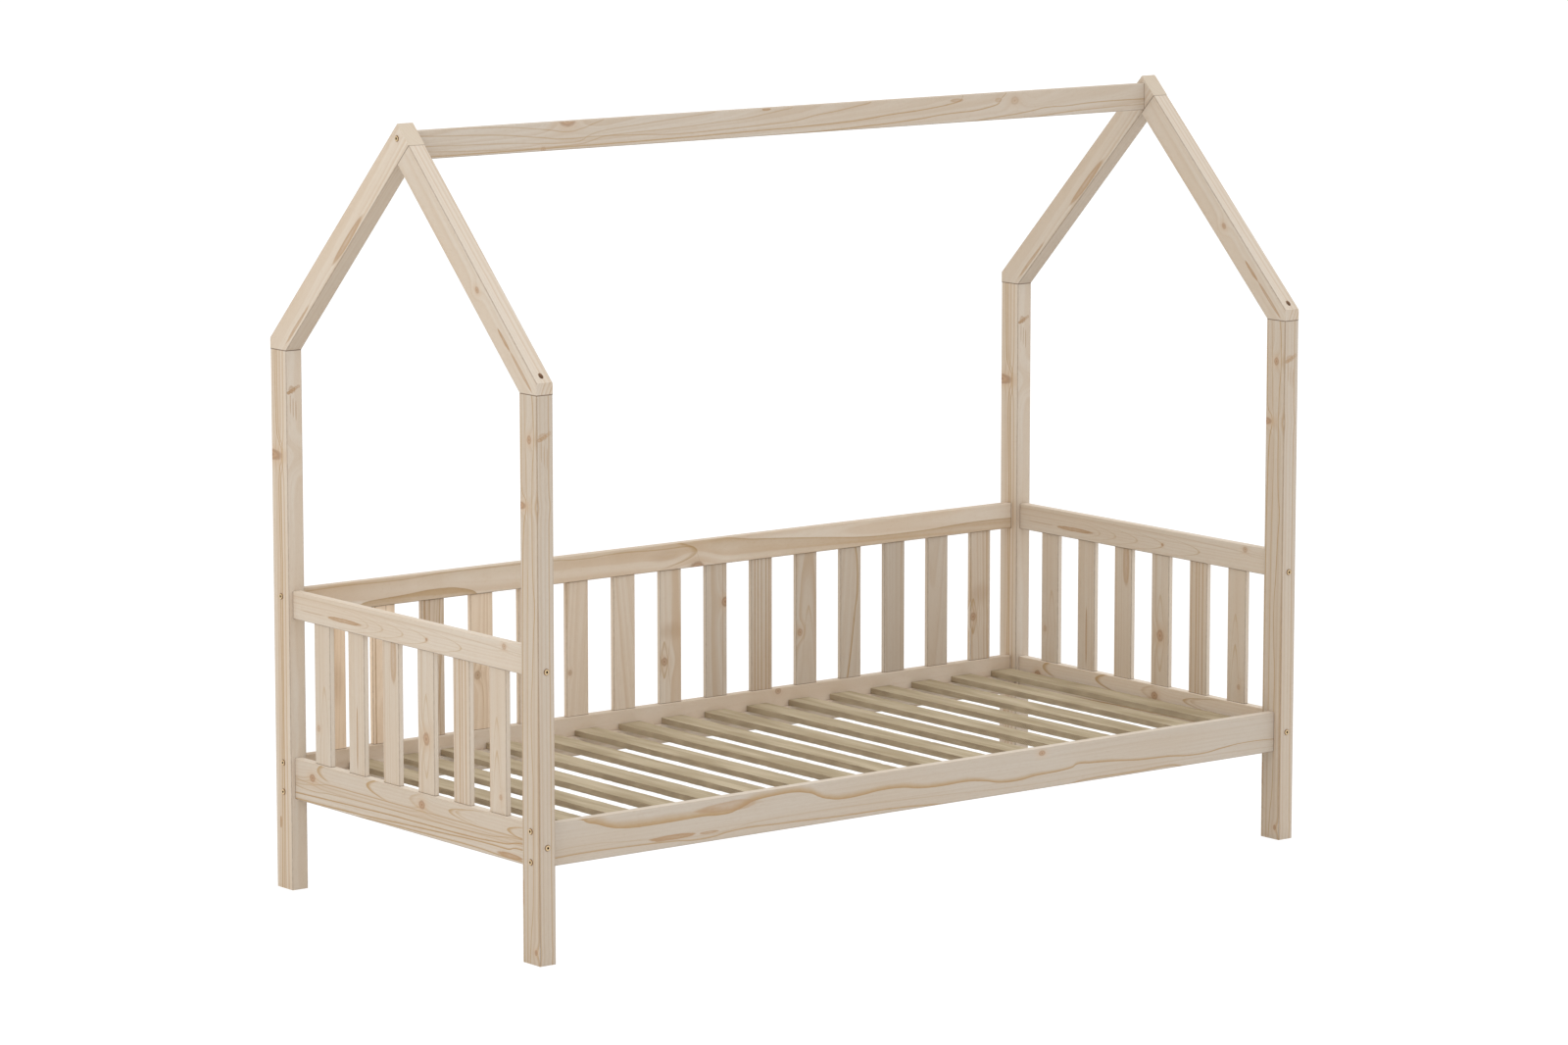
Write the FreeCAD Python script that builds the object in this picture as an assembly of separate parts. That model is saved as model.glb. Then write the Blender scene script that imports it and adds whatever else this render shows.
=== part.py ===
import FreeCAD, Part
import math
import os

# House frame bed in bare pine, in millimetres.
# The origin is on the floor, under the middle of the bed.  X runs along the bed, Y runs across it
# from the open front (-Y) to the back panel (+Y), and Z is up.  "Left" is the end at -X.
#
# The bed comes apart into posts, rafters, rails, spindles, slats and fasteners.  Each rail is held
# in the end grain by connector screws through the posts, with dowels beside them.  The heights of
# all these holes lie on one pitch, and the two directions take turns on it, so that the screws
# pass each other inside a post.  The spindles are housed in blind mortises, and the slats lie on
# ledgers that are fixed inside the long rails.

Vector = FreeCAD.Vector

# ---- sizes of the bed, each set by itself ----------------------------------------------------
MATTRESS_LENGTH = 2000.0        # clear length between the posts
MATTRESS_WIDTH = 900.0          # clear width between the long rails

POST_THICKNESS = 40.0           # along X
POST_DEPTH = 60.0               # along Y
POST_HEIGHT = 1175.0

RAIL_THICKNESS = 20.0
LOWER_RAIL_HEIGHT = 90.0
LOWER_RAIL_BOTTOM = 200.0
UPPER_RAIL_HEIGHT = 60.0
UPPER_RAIL_BOTTOM = 595.0

ROOF_PITCH = 45.0               # degrees from the horizontal
RAFTER_THICKNESS = 40.0         # along X
RAFTER_DEPTH = 60.0             # square to the slope
RIDGE_THICKNESS = 20.0
RIDGE_HEIGHT = 60.0
RIDGE_ABOVE_CORNER = 8.0        # from the inner corner of the gable up to the ridge board

SPINDLE_WIDTH = 60.0
SPINDLE_THICKNESS = 12.0
SPINDLE_HOUSING = 15.0          # how far a spindle enters each rail
BACK_SPINDLE_COUNT = 15
BACK_SPINDLE_GAP = 60.0         # from a post to the first spindle
END_SPINDLE_COUNT = 6
END_SPINDLE_GAP = 75.0

SLAT_COUNT = 17
SLAT_WIDTH = 60.0
SLAT_THICKNESS = 14.0
SLAT_BELOW_RAIL = 30.0          # from the top of the lower rails down to the slats
LEDGER_WIDTH = 20.0
LEDGER_HEIGHT = 40.0

ROUNDED_EDGE = 2.0              # along posts, rafters, rails and the ridge board
SPINDLE_BEVEL = 1.5
SAWN_BEVEL = 1.0                # along the rough slats and ledgers

# ---- fasteners -------------------------------------------------------------------------------
HOLE_PITCH = 32.0               # the step between the heights of the holes in a joint
LONG_LOWER_SCREWS = (-1, 1)     # heights of the screws, in steps from the middle of the rail
LONG_LOWER_DOWELS = (0,)
LONG_UPPER_SCREWS = (0.5,)
LONG_UPPER_DOWELS = (-0.5,)
END_LOWER_SCREWS = (0,)
END_LOWER_DOWELS = (-1, 1)
END_UPPER_SCREWS = (-0.5,)
END_UPPER_DOWELS = (0.5,)
RIDGE_SCREWS = (0.5,)
RIDGE_DOWELS = (-0.5,)
SHANK_SIDES = 6                 # hidden shanks and dowels are prisms, to keep the model light

CONNECTOR_DIAMETER = 7.0
CONNECTOR_BITE = 35.0           # length that enters a rail
CONNECTOR_HEAD_DIAMETER = 12.0
CONNECTOR_HEAD_HEIGHT = 2.2
SOCKET_ACROSS_FLATS = 4.0
SOCKET_DEPTH = 3.5

DOWEL_DIAMETER = 8.0
DOWEL_LENGTH = 40.0
DOWEL_END_WOOD = 1.5            # left in a post between a dowel and the screw that crosses it
DOWEL_IN_RAFTER = 15.0          # the rest is in the post or in the ridge board

ROOF_SCREW_DIAMETER = 6.0
ROOF_SCREW_HEAD_DIAMETER = 9.0
ROOF_SCREW_HEAD_HEIGHT = 3.0
ROOF_HOLE_DIAMETER = 10.0       # the hole that its head is sunk in
EAVES_SCREW_LENGTH = 70.0
EAVES_SCREW_INSET = 13.0        # from the outer face of the post to the screw
EAVES_HEAD_SEAT = 14.0          # wood left under the head, above the post
APEX_SCREW_LENGTH = 100.0
APEX_HEAD_SINK = 15.0           # from the rafter's back down to the seat of the screw's head
APEX_SCREW_OFFSET = -12.0       # along the butt joint, from its middle

# ---- clearances ------------------------------------------------------------------------------
HOUSING_CLEARANCE = 0.1         # round a spindle, at each side
HOUSING_DEPTH_CLEARANCE = 0.5   # beyond a spindle's end
DOWEL_CLEARANCE = 0.1           # round a dowel
SCREW_CLEARANCE = 0.2           # round a screw's shank
HOLE_END_CLEARANCE = 0.5        # beyond a dowel or the end of a screw
SLAT_END_PLAY = 1.0             # slat to rail, at each end
SLAT_SIDE_PLAY = 1.0            # outermost slat to the line of the posts
LEDGER_END_PLAY = 5.0           # ledger to post, at each end

# ---- places worked out from the sizes --------------------------------------------------------
POST_X = MATTRESS_LENGTH / 2 + POST_THICKNESS / 2
POST_Y = MATTRESS_WIDTH / 2 + RAIL_THICKNESS / 2
POST_INNER_X = POST_X - POST_THICKNESS / 2
POST_OUTER_X = POST_X + POST_THICKNESS / 2
POST_INNER_Y = POST_Y - POST_DEPTH / 2
POST_OUTER_Y = POST_Y + POST_DEPTH / 2

LOWER_RAIL_TOP = LOWER_RAIL_BOTTOM + LOWER_RAIL_HEIGHT
SPINDLE_BOTTOM = LOWER_RAIL_TOP - SPINDLE_HOUSING
SPINDLE_TOP = UPPER_RAIL_BOTTOM + SPINDLE_HOUSING
DOWEL_IN_POST = POST_THICKNESS / 2 - CONNECTOR_DIAMETER / 2 - DOWEL_END_WOOD

SLAT_TOP = LOWER_RAIL_TOP - SLAT_BELOW_RAIL
LEDGER_TOP = SLAT_TOP - SLAT_THICKNESS
LEDGER_BOTTOM = LEDGER_TOP - LEDGER_HEIGHT
LEDGER_Y = MATTRESS_WIDTH / 2 - LEDGER_WIDTH / 2

SLOPE = math.radians(ROOF_PITCH)
LOWER_LINE_AT_RIDGE = POST_HEIGHT + POST_INNER_Y * math.tan(SLOPE)
APEX_HEIGHT = LOWER_LINE_AT_RIDGE + RAFTER_DEPTH / math.cos(SLOPE)
RAFTER_INNER_X = POST_X - RAFTER_THICKNESS / 2
RAFTER_OUTER_X = POST_X + RAFTER_THICKNESS / 2
RIDGE_BOTTOM = LOWER_LINE_AT_RIDGE + RIDGE_ABOVE_CORNER
RIDGE_TOP = RIDGE_BOTTOM + RIDGE_HEIGHT

EAVES_SCREW_Y = POST_OUTER_Y - EAVES_SCREW_INSET
EAVES_DOWEL_Y = EAVES_SCREW_Y - HOLE_PITCH

# The butt joint at the apex: its tip on the front slope, its middle, and two directions in the
# plane of the gable, one square to the back rafter and one up along it.
BUTT_TIP_Y = -RAFTER_DEPTH / (2 * math.sin(SLOPE))
BUTT_MIDDLE = Vector(0, BUTT_TIP_Y / 2, LOWER_LINE_AT_RIDGE - BUTT_TIP_Y / 2 * math.tan(SLOPE))
OUT_OF_BACK_RAFTER = Vector(0, math.sin(SLOPE), math.cos(SLOPE))
UP_BACK_RAFTER = Vector(0, -math.cos(SLOPE), math.sin(SLOPE))

LEFT, RIGHT = -1, 1
FRONT, BACK = -1, 1
SIDE_NAMES = {LEFT: "left", RIGHT: "right"}
FACE_NAMES = {FRONT: "front", BACK: "back"}
X_AXIS = Vector(1, 0, 0)
Y_AXIS = Vector(0, 1, 0)
Z_AXIS = Vector(0, 0, 1)


# ---- helpers ---------------------------------------------------------------------------------
def centred_rows(count, room):
    """Places of count things in even steps, with the outermost this far apart."""
    return [(index / (count - 1) - 0.5) * room for index in range(count)]


def block(x_range, y_range, z_range):
    """A box between two planes in each direction."""
    size = [high - low for low, high in (x_range, y_range, z_range)]
    corner = Vector(x_range[0], y_range[0], z_range[0])
    return Part.makeBox(size[0], size[1], size[2], corner)


def long_edges(shape, direction):
    """The edges that run a timber's length."""
    chosen = []
    for edge in shape.Edges:
        run = edge.Vertexes[-1].Point - edge.Vertexes[0].Point
        if abs(run.normalize() * direction) > 0.999:
            chosen.append(edge)
    return chosen


def timber(x_range, y_range, z_range, direction):
    """A planed timber with its long edges rounded."""
    stick = block(x_range, y_range, z_range)
    return stick.makeFillet(ROUNDED_EDGE, long_edges(stick, direction))


def lath(x_range, y_range, z_range, direction, bevel):
    """A thin piece with its long edges bevelled."""
    stick = block(x_range, y_range, z_range)
    return stick.makeChamfer(bevel, long_edges(stick, direction))


def rod(radius, start, direction, length):
    return Part.makeCylinder(radius, length, start, direction)


def prism(radius, sides, start, direction, length):
    """A rod with flat sides; the radius is to its corners."""
    first = direction.cross(Y_AXIS if abs(direction.x) > 0.5 else X_AXIS)
    second = direction.cross(first)
    corners = []
    for corner in range(sides):
        turn = 2 * math.pi * corner / sides
        corners.append(start + first * (radius * math.cos(turn)) + second * (radius * math.sin(turn)))
    return Part.Face(Part.makePolygon(corners + corners[:1])).extrude(direction * length)


def shank(radius, start, direction, length):
    """A hidden shank or dowel, or with a larger radius the hole for one."""
    return prism(radius, SHANK_SIDES, start, direction, length)


def dowel(start, direction):
    """A wood dowel; all of them are one size."""
    return shank(DOWEL_DIAMETER / 2, start, direction, DOWEL_LENGTH)


def dowel_hole(start, direction):
    """The room for a dowel, in both of the pieces that it joins."""
    first = start - direction * HOLE_END_CLEARANCE
    length = DOWEL_LENGTH + 2 * HOLE_END_CLEARANCE
    return shank(DOWEL_DIAMETER / 2 + DOWEL_CLEARANCE, first, direction, length)


def connector(face_point, direction, length):
    """A connector screw: a flat head with a hexagon socket on the face, and a shank behind it."""
    top = face_point - direction * CONNECTOR_HEAD_HEIGHT
    head = rod(CONNECTOR_HEAD_DIAMETER / 2, top, direction, CONNECTOR_HEAD_HEIGHT)
    body = shank(CONNECTOR_DIAMETER / 2, face_point, direction, length)
    socket_radius = SOCKET_ACROSS_FLATS / 2 / math.cos(math.pi / 6)
    return head.fuse(body).cut(prism(socket_radius, 6, top, direction, SOCKET_DEPTH))


def connector_hole(face_point, direction, length):
    radius = CONNECTOR_DIAMETER / 2 + SCREW_CLEARANCE
    return shank(radius, face_point, direction, length + HOLE_END_CLEARANCE)


def roof_screw(seat, direction, length):
    """A screw with a cylindrical head, sunk into a rafter as far as the seat."""
    head = rod(ROOF_SCREW_HEAD_DIAMETER / 2, seat, direction * -1, ROOF_SCREW_HEAD_HEIGHT)
    return head.fuse(shank(ROOF_SCREW_DIAMETER / 2, seat, direction, length))


def roof_screw_hole(seat, direction, length):
    """A roof screw's hole: narrow round its shank, and wide from the seat outward."""
    narrow = shank(ROOF_SCREW_DIAMETER / 2 + SCREW_CLEARANCE, seat, direction,
                   length + HOLE_END_CLEARANCE)
    return narrow.fuse(rod(ROOF_HOLE_DIAMETER / 2, seat, direction * -1, RAFTER_DEPTH))


def cut_all(shape, tools):
    """The shape less those tools whose boxes reach into its own."""
    near = [tool for tool in tools if shape.BoundBox.intersect(tool.BoundBox)]
    return shape.cut(near) if near else shape


# ---- fasteners: where each one is ------------------------------------------------------------
def hole_heights(bottom, height, steps):
    """Heights of the holes in the end of a timber, in steps of the pitch from its middle."""
    return [bottom + height / 2 + step * HOLE_PITCH for step in steps]


def rail_end_heights(lower_steps, upper_steps):
    """Heights of the holes in the ends of the lower rails, and of the upper rails."""
    return (hole_heights(LOWER_RAIL_BOTTOM, LOWER_RAIL_HEIGHT, lower_steps),
            hole_heights(UPPER_RAIL_BOTTOM, UPPER_RAIL_HEIGHT, upper_steps))


def long_rail_places(lower_steps, upper_steps, start_x):
    """(start, direction) of what enters the ends of the long rails, along X."""
    lower, upper = rail_end_heights(lower_steps, upper_steps)
    spots = [(FRONT, height) for height in lower] + [(BACK, height) for height in lower + upper]
    return [(Vector(side * start_x, face * POST_Y, height), Vector(-side, 0, 0))
            for side in (LEFT, RIGHT) for face, height in spots]


def end_rail_places(lower_steps, upper_steps, start_y):
    """(start, direction) of what enters the ends of the end rails, along Y."""
    lower, upper = rail_end_heights(lower_steps, upper_steps)
    return [(Vector(side * POST_X, face * start_y, height), Vector(0, -face, 0))
            for side in (LEFT, RIGHT) for face in (FRONT, BACK) for height in lower + upper]


def ridge_places(steps, start_x):
    """(start, direction) of what enters the ends of the ridge board, along X."""
    heights = hole_heights(RIDGE_BOTTOM, RIDGE_HEIGHT, steps)
    return [(Vector(side * start_x, 0, height), Vector(-side, 0, 0))
            for side in (LEFT, RIGHT) for height in heights]


def with_length(places, length):
    return [(start, direction, length) for start, direction in places]


def short_connectors():
    """(start, direction, length) of the connectors along X, through posts and rafters."""
    through_posts = long_rail_places(LONG_LOWER_SCREWS, LONG_UPPER_SCREWS, POST_OUTER_X)
    through_rafters = ridge_places(RIDGE_SCREWS, RAFTER_OUTER_X)
    return (with_length(through_posts, POST_THICKNESS + CONNECTOR_BITE)
            + with_length(through_rafters, RAFTER_THICKNESS + CONNECTOR_BITE))


def long_connectors():
    """(start, direction, length) of the connectors along Y, through the posts."""
    through_posts = end_rail_places(END_LOWER_SCREWS, END_UPPER_SCREWS, POST_OUTER_Y)
    return with_length(through_posts, POST_DEPTH + CONNECTOR_BITE)


def eaves_places(across, start_z):
    """(start, direction) of what goes down through the rafters' feet into the posts."""
    return [(Vector(side * POST_X, face * across, start_z), Z_AXIS * -1)
            for side in (LEFT, RIGHT) for face in (FRONT, BACK)]


def eaves_screws():
    seats = eaves_places(EAVES_SCREW_Y, POST_HEIGHT + EAVES_HEAD_SEAT)
    return with_length(seats, EAVES_SCREW_LENGTH)


def apex_screws():
    """The screws through the back rafters into the ends of the front ones."""
    middle = BUTT_MIDDLE + UP_BACK_RAFTER * APEX_SCREW_OFFSET
    seat = middle + OUT_OF_BACK_RAFTER * (RAFTER_DEPTH - APEX_HEAD_SINK)
    return [(seat + X_AXIS * (side * POST_X), OUT_OF_BACK_RAFTER * -1, APEX_SCREW_LENGTH)
            for side in (LEFT, RIGHT)]


def dowel_places():
    """(start, direction) of every dowel."""
    return (long_rail_places(LONG_LOWER_DOWELS, LONG_UPPER_DOWELS, POST_INNER_X + DOWEL_IN_POST)
            + end_rail_places(END_LOWER_DOWELS, END_UPPER_DOWELS, POST_INNER_Y + DOWEL_IN_POST)
            + ridge_places(RIDGE_DOWELS, RAFTER_INNER_X + DOWEL_IN_RAFTER)
            + eaves_places(EAVES_DOWEL_Y, POST_HEIGHT + DOWEL_IN_RAFTER))


def all_holes():
    """What every fastener takes out of the timbers that it passes or enters."""
    holes = [connector_hole(*place) for place in short_connectors() + long_connectors()]
    holes += [roof_screw_hole(*place) for place in eaves_screws() + apex_screws()]
    holes += [dowel_hole(*place) for place in dowel_places()]
    return holes


# ---- timbers ---------------------------------------------------------------------------------
def post(side, face):
    low_x, high_x = sorted((side * POST_INNER_X, side * POST_OUTER_X))
    low_y, high_y = sorted((face * POST_INNER_Y, face * POST_OUTER_Y))
    return timber((low_x, high_x), (low_y, high_y), (0, POST_HEIGHT), Z_AXIS)


def upper_line(across):
    """Height of the roof's upper line at a distance from the middle of the bed."""
    return APEX_HEIGHT - across * math.tan(SLOPE)


def rafter_outline(face):
    """The side view of a rafter as (Y, Z) corners: seat on the post, eaves, apex and back.

    The back rafter runs through to the apex, where its end is flush with the front slope.
    The front rafter butts against its lower side.
    """
    seat = [(face * POST_INNER_Y, POST_HEIGHT), (face * POST_OUTER_Y, POST_HEIGHT),
            (face * POST_OUTER_Y, upper_line(POST_OUTER_Y))]
    butt_top = (BUTT_TIP_Y, upper_line(-BUTT_TIP_Y))
    if face == BACK:
        return seat + [(0.0, APEX_HEIGHT), butt_top]
    return seat + [butt_top, (0.0, LOWER_LINE_AT_RIDGE)]


def rafter(side, face):
    """A rafter of a gable, with its long edges rounded."""
    low_x, high_x = sorted((side * RAFTER_INNER_X, side * RAFTER_OUTER_X))
    corners = [Vector(low_x, across, height) for across, height in rafter_outline(face)]
    profile = Part.Face(Part.makePolygon(corners + corners[:1]))
    stick = profile.extrude(Vector(high_x - low_x, 0, 0))
    down_slope = Vector(0, face * math.cos(SLOPE), -math.sin(SLOPE))
    return stick.makeFillet(ROUNDED_EDGE, long_edges(stick, down_slope))


def ridge_beam():
    return timber((-RAFTER_INNER_X, RAFTER_INNER_X), (-RIDGE_THICKNESS / 2, RIDGE_THICKNESS / 2),
                  (RIDGE_BOTTOM, RIDGE_TOP), X_AXIS)


def long_rail(face, bottom, height):
    """A rail along X, centred on the posts' depth, from post to post."""
    middle = face * POST_Y
    return timber((-POST_INNER_X, POST_INNER_X),
                  (middle - RAIL_THICKNESS / 2, middle + RAIL_THICKNESS / 2),
                  (bottom, bottom + height), X_AXIS)


def end_rail(side, bottom, height):
    """A rail along Y, centred on the posts' thickness, from post to post."""
    middle = side * POST_X
    return timber((middle - RAIL_THICKNESS / 2, middle + RAIL_THICKNESS / 2),
                  (-POST_INNER_Y, POST_INNER_Y), (bottom, bottom + height), Y_AXIS)


def spindle_ranges(centre, along_x, clearance, end_clearance):
    """The planes between which a spindle, or the room for one, lies."""
    half_x = SPINDLE_WIDTH / 2 + clearance
    half_y = SPINDLE_THICKNESS / 2 + clearance
    if not along_x:
        half_x, half_y = half_y, half_x
    return ((centre.x - half_x, centre.x + half_x), (centre.y - half_y, centre.y + half_y),
            (SPINDLE_BOTTOM - end_clearance, SPINDLE_TOP + end_clearance))


def spindle(centre, along_x):
    """A flat spindle that stands in the mortises of the rails below and above it."""
    return lath(*spindle_ranges(centre, along_x, 0, 0), Z_AXIS, SPINDLE_BEVEL)


def mortises(centres, along_x):
    """The rooms of a row of spindles; each one reaches into both rails of its panel."""
    return [block(*spindle_ranges(centre, along_x, HOUSING_CLEARANCE, HOUSING_DEPTH_CLEARANCE))
            for centre in centres]


def back_spindle_centres():
    room = 2 * (POST_INNER_X - BACK_SPINDLE_GAP) - SPINDLE_WIDTH
    return [Vector(along, POST_Y, 0) for along in centred_rows(BACK_SPINDLE_COUNT, room)]


def end_spindle_centres(side):
    room = 2 * (POST_INNER_Y - END_SPINDLE_GAP) - SPINDLE_WIDTH
    return [Vector(side * POST_X, across, 0) for across in centred_rows(END_SPINDLE_COUNT, room)]


def bed_slat(along):
    half_length = MATTRESS_WIDTH / 2 - SLAT_END_PLAY
    return lath((along - SLAT_WIDTH / 2, along + SLAT_WIDTH / 2),
                (-half_length, half_length), (LEDGER_TOP, SLAT_TOP), Y_AXIS, SAWN_BEVEL)


def slat_ledger(face):
    half_length = POST_INNER_X - LEDGER_END_PLAY
    middle = face * LEDGER_Y
    return lath((-half_length, half_length),
                (middle - LEDGER_WIDTH / 2, middle + LEDGER_WIDTH / 2),
                (LEDGER_BOTTOM, LEDGER_TOP), X_AXIS, SAWN_BEVEL)


# ---- the bed ---------------------------------------------------------------------------------
def gable_nodes(holes):
    """Posts, rafters and the ridge board."""
    nodes = {}
    for side in (LEFT, RIGHT):
        for face in (FRONT, BACK):
            ending = FACE_NAMES[face] + "_" + SIDE_NAMES[side]
            nodes["post_" + ending] = cut_all(post(side, face), holes)
            nodes["rafter_" + ending] = cut_all(rafter(side, face), holes)
    nodes["ridge_beam"] = cut_all(ridge_beam(), holes)
    return nodes


def side_nodes(holes):
    """The front rail, and the back panel of two rails and its spindles."""
    centres = back_spindle_centres()
    tools = holes + mortises(centres, True)
    nodes = {
        "front_rail": cut_all(long_rail(FRONT, LOWER_RAIL_BOTTOM, LOWER_RAIL_HEIGHT), holes),
        "back_rail_lower": cut_all(long_rail(BACK, LOWER_RAIL_BOTTOM, LOWER_RAIL_HEIGHT), tools),
        "back_rail_upper": cut_all(long_rail(BACK, UPPER_RAIL_BOTTOM, UPPER_RAIL_HEIGHT), tools),
    }
    for number, centre in enumerate(centres, 1):
        nodes["back_spindle_%02d" % number] = spindle(centre, True)
    return nodes


def end_nodes(side, holes):
    """An end panel: two rails, and its spindles as a group of separate pieces."""
    name = SIDE_NAMES[side]
    centres = end_spindle_centres(side)
    tools = holes + mortises(centres, False)
    lower = end_rail(side, LOWER_RAIL_BOTTOM, LOWER_RAIL_HEIGHT)
    upper = end_rail(side, UPPER_RAIL_BOTTOM, UPPER_RAIL_HEIGHT)
    return {
        "end_rail_lower_" + name: cut_all(lower, tools),
        "end_rail_upper_" + name: cut_all(upper, tools),
        "end_spindles_" + name: Part.makeCompound([spindle(centre, False) for centre in centres]),
    }


def base_nodes():
    """The ledgers inside the long rails, and the slats that lie on them."""
    nodes = {"slat_ledger_" + FACE_NAMES[face]: slat_ledger(face) for face in (FRONT, BACK)}
    room = MATTRESS_LENGTH - 2 * SLAT_SIDE_PLAY - SLAT_WIDTH
    for number, along in enumerate(centred_rows(SLAT_COUNT, room), 1):
        nodes["bed_slat_%02d" % number] = bed_slat(along)
    return nodes


def fastener_nodes():
    """Each kind of fastener is one node: a group of separate pieces."""
    groups = {
        "connector_screws_short": [connector(*place) for place in short_connectors()],
        "connector_screws_long": [connector(*place) for place in long_connectors()],
        "eaves_screws": [roof_screw(*place) for place in eaves_screws()],
        "apex_screws": [roof_screw(*place) for place in apex_screws()],
        "wood_dowels": [dowel(*place) for place in dowel_places()],
    }
    return {name: Part.makeCompound(pieces) for name, pieces in groups.items()}


def build_nodes():
    """Every node of the bed, by name."""
    holes = all_holes()
    nodes = gable_nodes(holes)
    nodes.update(side_nodes(holes))
    for side in (LEFT, RIGHT):
        nodes.update(end_nodes(side, holes))
    nodes.update(base_nodes())
    nodes.update(fastener_nodes())
    return nodes


def main():
    os.makedirs("parts", exist_ok=True)
    nodes = build_nodes()
    for name, shape in nodes.items():
        if not shape.isValid():
            raise ValueError("not a valid shape: " + name)
        shape.exportStep("parts/" + name + ".step")
    box = Part.makeCompound(list(nodes.values())).BoundBox
    print("%d nodes, %.1f x %.1f x %.1f mm" % (len(nodes), box.XLength, box.YLength, box.ZLength))
    print("apex at %.1f mm, dowels %.1f mm into the posts" % (APEX_HEIGHT, DOWEL_IN_POST))


main()
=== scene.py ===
# %% [markdown]
# # A house frame bed in bare pine
#
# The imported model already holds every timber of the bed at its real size. This lesson dresses it:
# it writes one wood material that is cut from an imagined tree, gives each timber its own piece of
# that tree, replaces the plain slats and fasteners with detailed ones, and sets up a small photo
# studio.

# %% Load the frame
import math
import random
from dataclasses import dataclass, replace

import bmesh
import bpy
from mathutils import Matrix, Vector


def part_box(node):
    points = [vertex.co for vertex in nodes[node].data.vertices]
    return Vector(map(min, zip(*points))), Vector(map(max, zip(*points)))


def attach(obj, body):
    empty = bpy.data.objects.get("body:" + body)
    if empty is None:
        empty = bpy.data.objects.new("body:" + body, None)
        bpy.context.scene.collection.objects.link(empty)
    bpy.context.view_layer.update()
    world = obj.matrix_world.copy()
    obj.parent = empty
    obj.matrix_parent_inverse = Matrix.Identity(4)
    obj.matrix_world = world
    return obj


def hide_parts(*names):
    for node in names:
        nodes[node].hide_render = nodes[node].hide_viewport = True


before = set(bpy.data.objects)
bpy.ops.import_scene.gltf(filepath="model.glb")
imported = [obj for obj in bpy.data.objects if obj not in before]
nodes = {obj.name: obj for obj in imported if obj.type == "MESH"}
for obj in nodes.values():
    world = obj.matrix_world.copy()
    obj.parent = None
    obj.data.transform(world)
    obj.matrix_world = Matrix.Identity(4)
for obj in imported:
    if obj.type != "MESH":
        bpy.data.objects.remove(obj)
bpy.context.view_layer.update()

# %% [markdown]
# ## Where the timbers are
#
# A material that looks sawn from a log has to know which way each timber runs. The frame tells
# where each timber is, and its longest side is its length. Only the rafters lie at a slant: they
# run at 45 degrees between the posts' tops and the ridge, so their middle line is written down.

# %% Directions of the timbers
X_AXIS = Vector((1, 0, 0))
Y_AXIS = Vector((0, 1, 0))
Z_AXIS = Vector((0, 0, 1))
AXES = (X_AXIS, Y_AXIS, Z_AXIS)
RAFTER_MIDDLE = (0.245, 1.4024)  # how far back and how high, half way up the slope


class Board:
    """A timber's middle, and its directions along, across its wide face and through it."""

    def __init__(self, name, along=None):
        low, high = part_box(name)
        self.name = name
        self.middle = (low + high) / 2
        sides = sorted(range(3), key=lambda side: (high - low)[side])
        self.along = along or AXES[sides[2]]
        self.through = AXES[sides[0]]
        self.across = self.through.cross(self.along)
        if max(self.across, key=abs) < 0:
            self.across = -self.across
        self.size = [(high - low)[side] for side in reversed(sides)]


def rafter_board(name):
    """A rafter runs up towards the ridge, backwards from the front or forwards from the back."""
    up_slope = -1 if name.startswith("rafter_back") else 1
    board = Board(name, Vector((0, up_slope, 1)).normalized())
    board.middle.yz = (-up_slope * RAFTER_MIDDLE[0], RAFTER_MIDDLE[1])
    return board


boards = {}
for name in nodes:
    if name.startswith("rafter"):
        boards[name] = rafter_board(name)
    elif name.startswith("end_spindles"):
        boards[name] = Board(name, Z_AXIS)
        boards[name].through, boards[name].across = X_AXIS, Y_AXIS
    elif not name.endswith(("screws", "screws_short", "screws_long")):
        boards[name] = Board(name)
print("timbers with a grain direction of their own:", len(boards))

# %% [markdown]
# ## The camera
#
# The photograph was taken from the front left, from a little above the bed and from far away, so
# its lines hardly converge. A long lens from the same place gives the same picture. The camera
# looks down a little instead of being shifted, so that it can also be turned round the bed.

# %% Camera
CAMERA_PLACE = (-7.8731, -10.0881, 2.7474)
CAMERA_HEADING = 37.868         # degrees from +Y towards +X
CAMERA_PITCH = 8.834            # degrees below the horizon
CAMERA_LENS = 135.6             # on a film 36 mm wide

camera_data = bpy.data.cameras.new("camera")
camera_data.lens = CAMERA_LENS
camera_data.sensor_width = 36
camera_data.clip_end = 200
camera = bpy.data.objects.new("camera", camera_data)
camera.location = CAMERA_PLACE
camera.rotation_euler = (math.radians(90 - CAMERA_PITCH), 0, -math.radians(CAMERA_HEADING))
bpy.context.scene.collection.objects.link(camera)
bpy.context.scene.camera = camera
print("camera at", CAMERA_PLACE, "with a", CAMERA_LENS, "mm lens")

# %% [markdown]
# ## Shader maths in Python
#
# A material is a net of nodes, and a sum written node by node is hard to read. The class `Value`
# wraps a node's output and overloads the operators, so that `1 - mask * 0.5` adds the Math nodes
# by itself. `Finish` holds one material; its method `add` makes every other kind of node.

# %% Node maths
def operator(operation):
    """A method of Value that adds one Math node."""
    def method(self, *others):
        sockets = dict(enumerate((self,) + others))
        return self.finish.add("ShaderNodeMath", {"operation": operation}, sockets)
    return method


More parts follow.
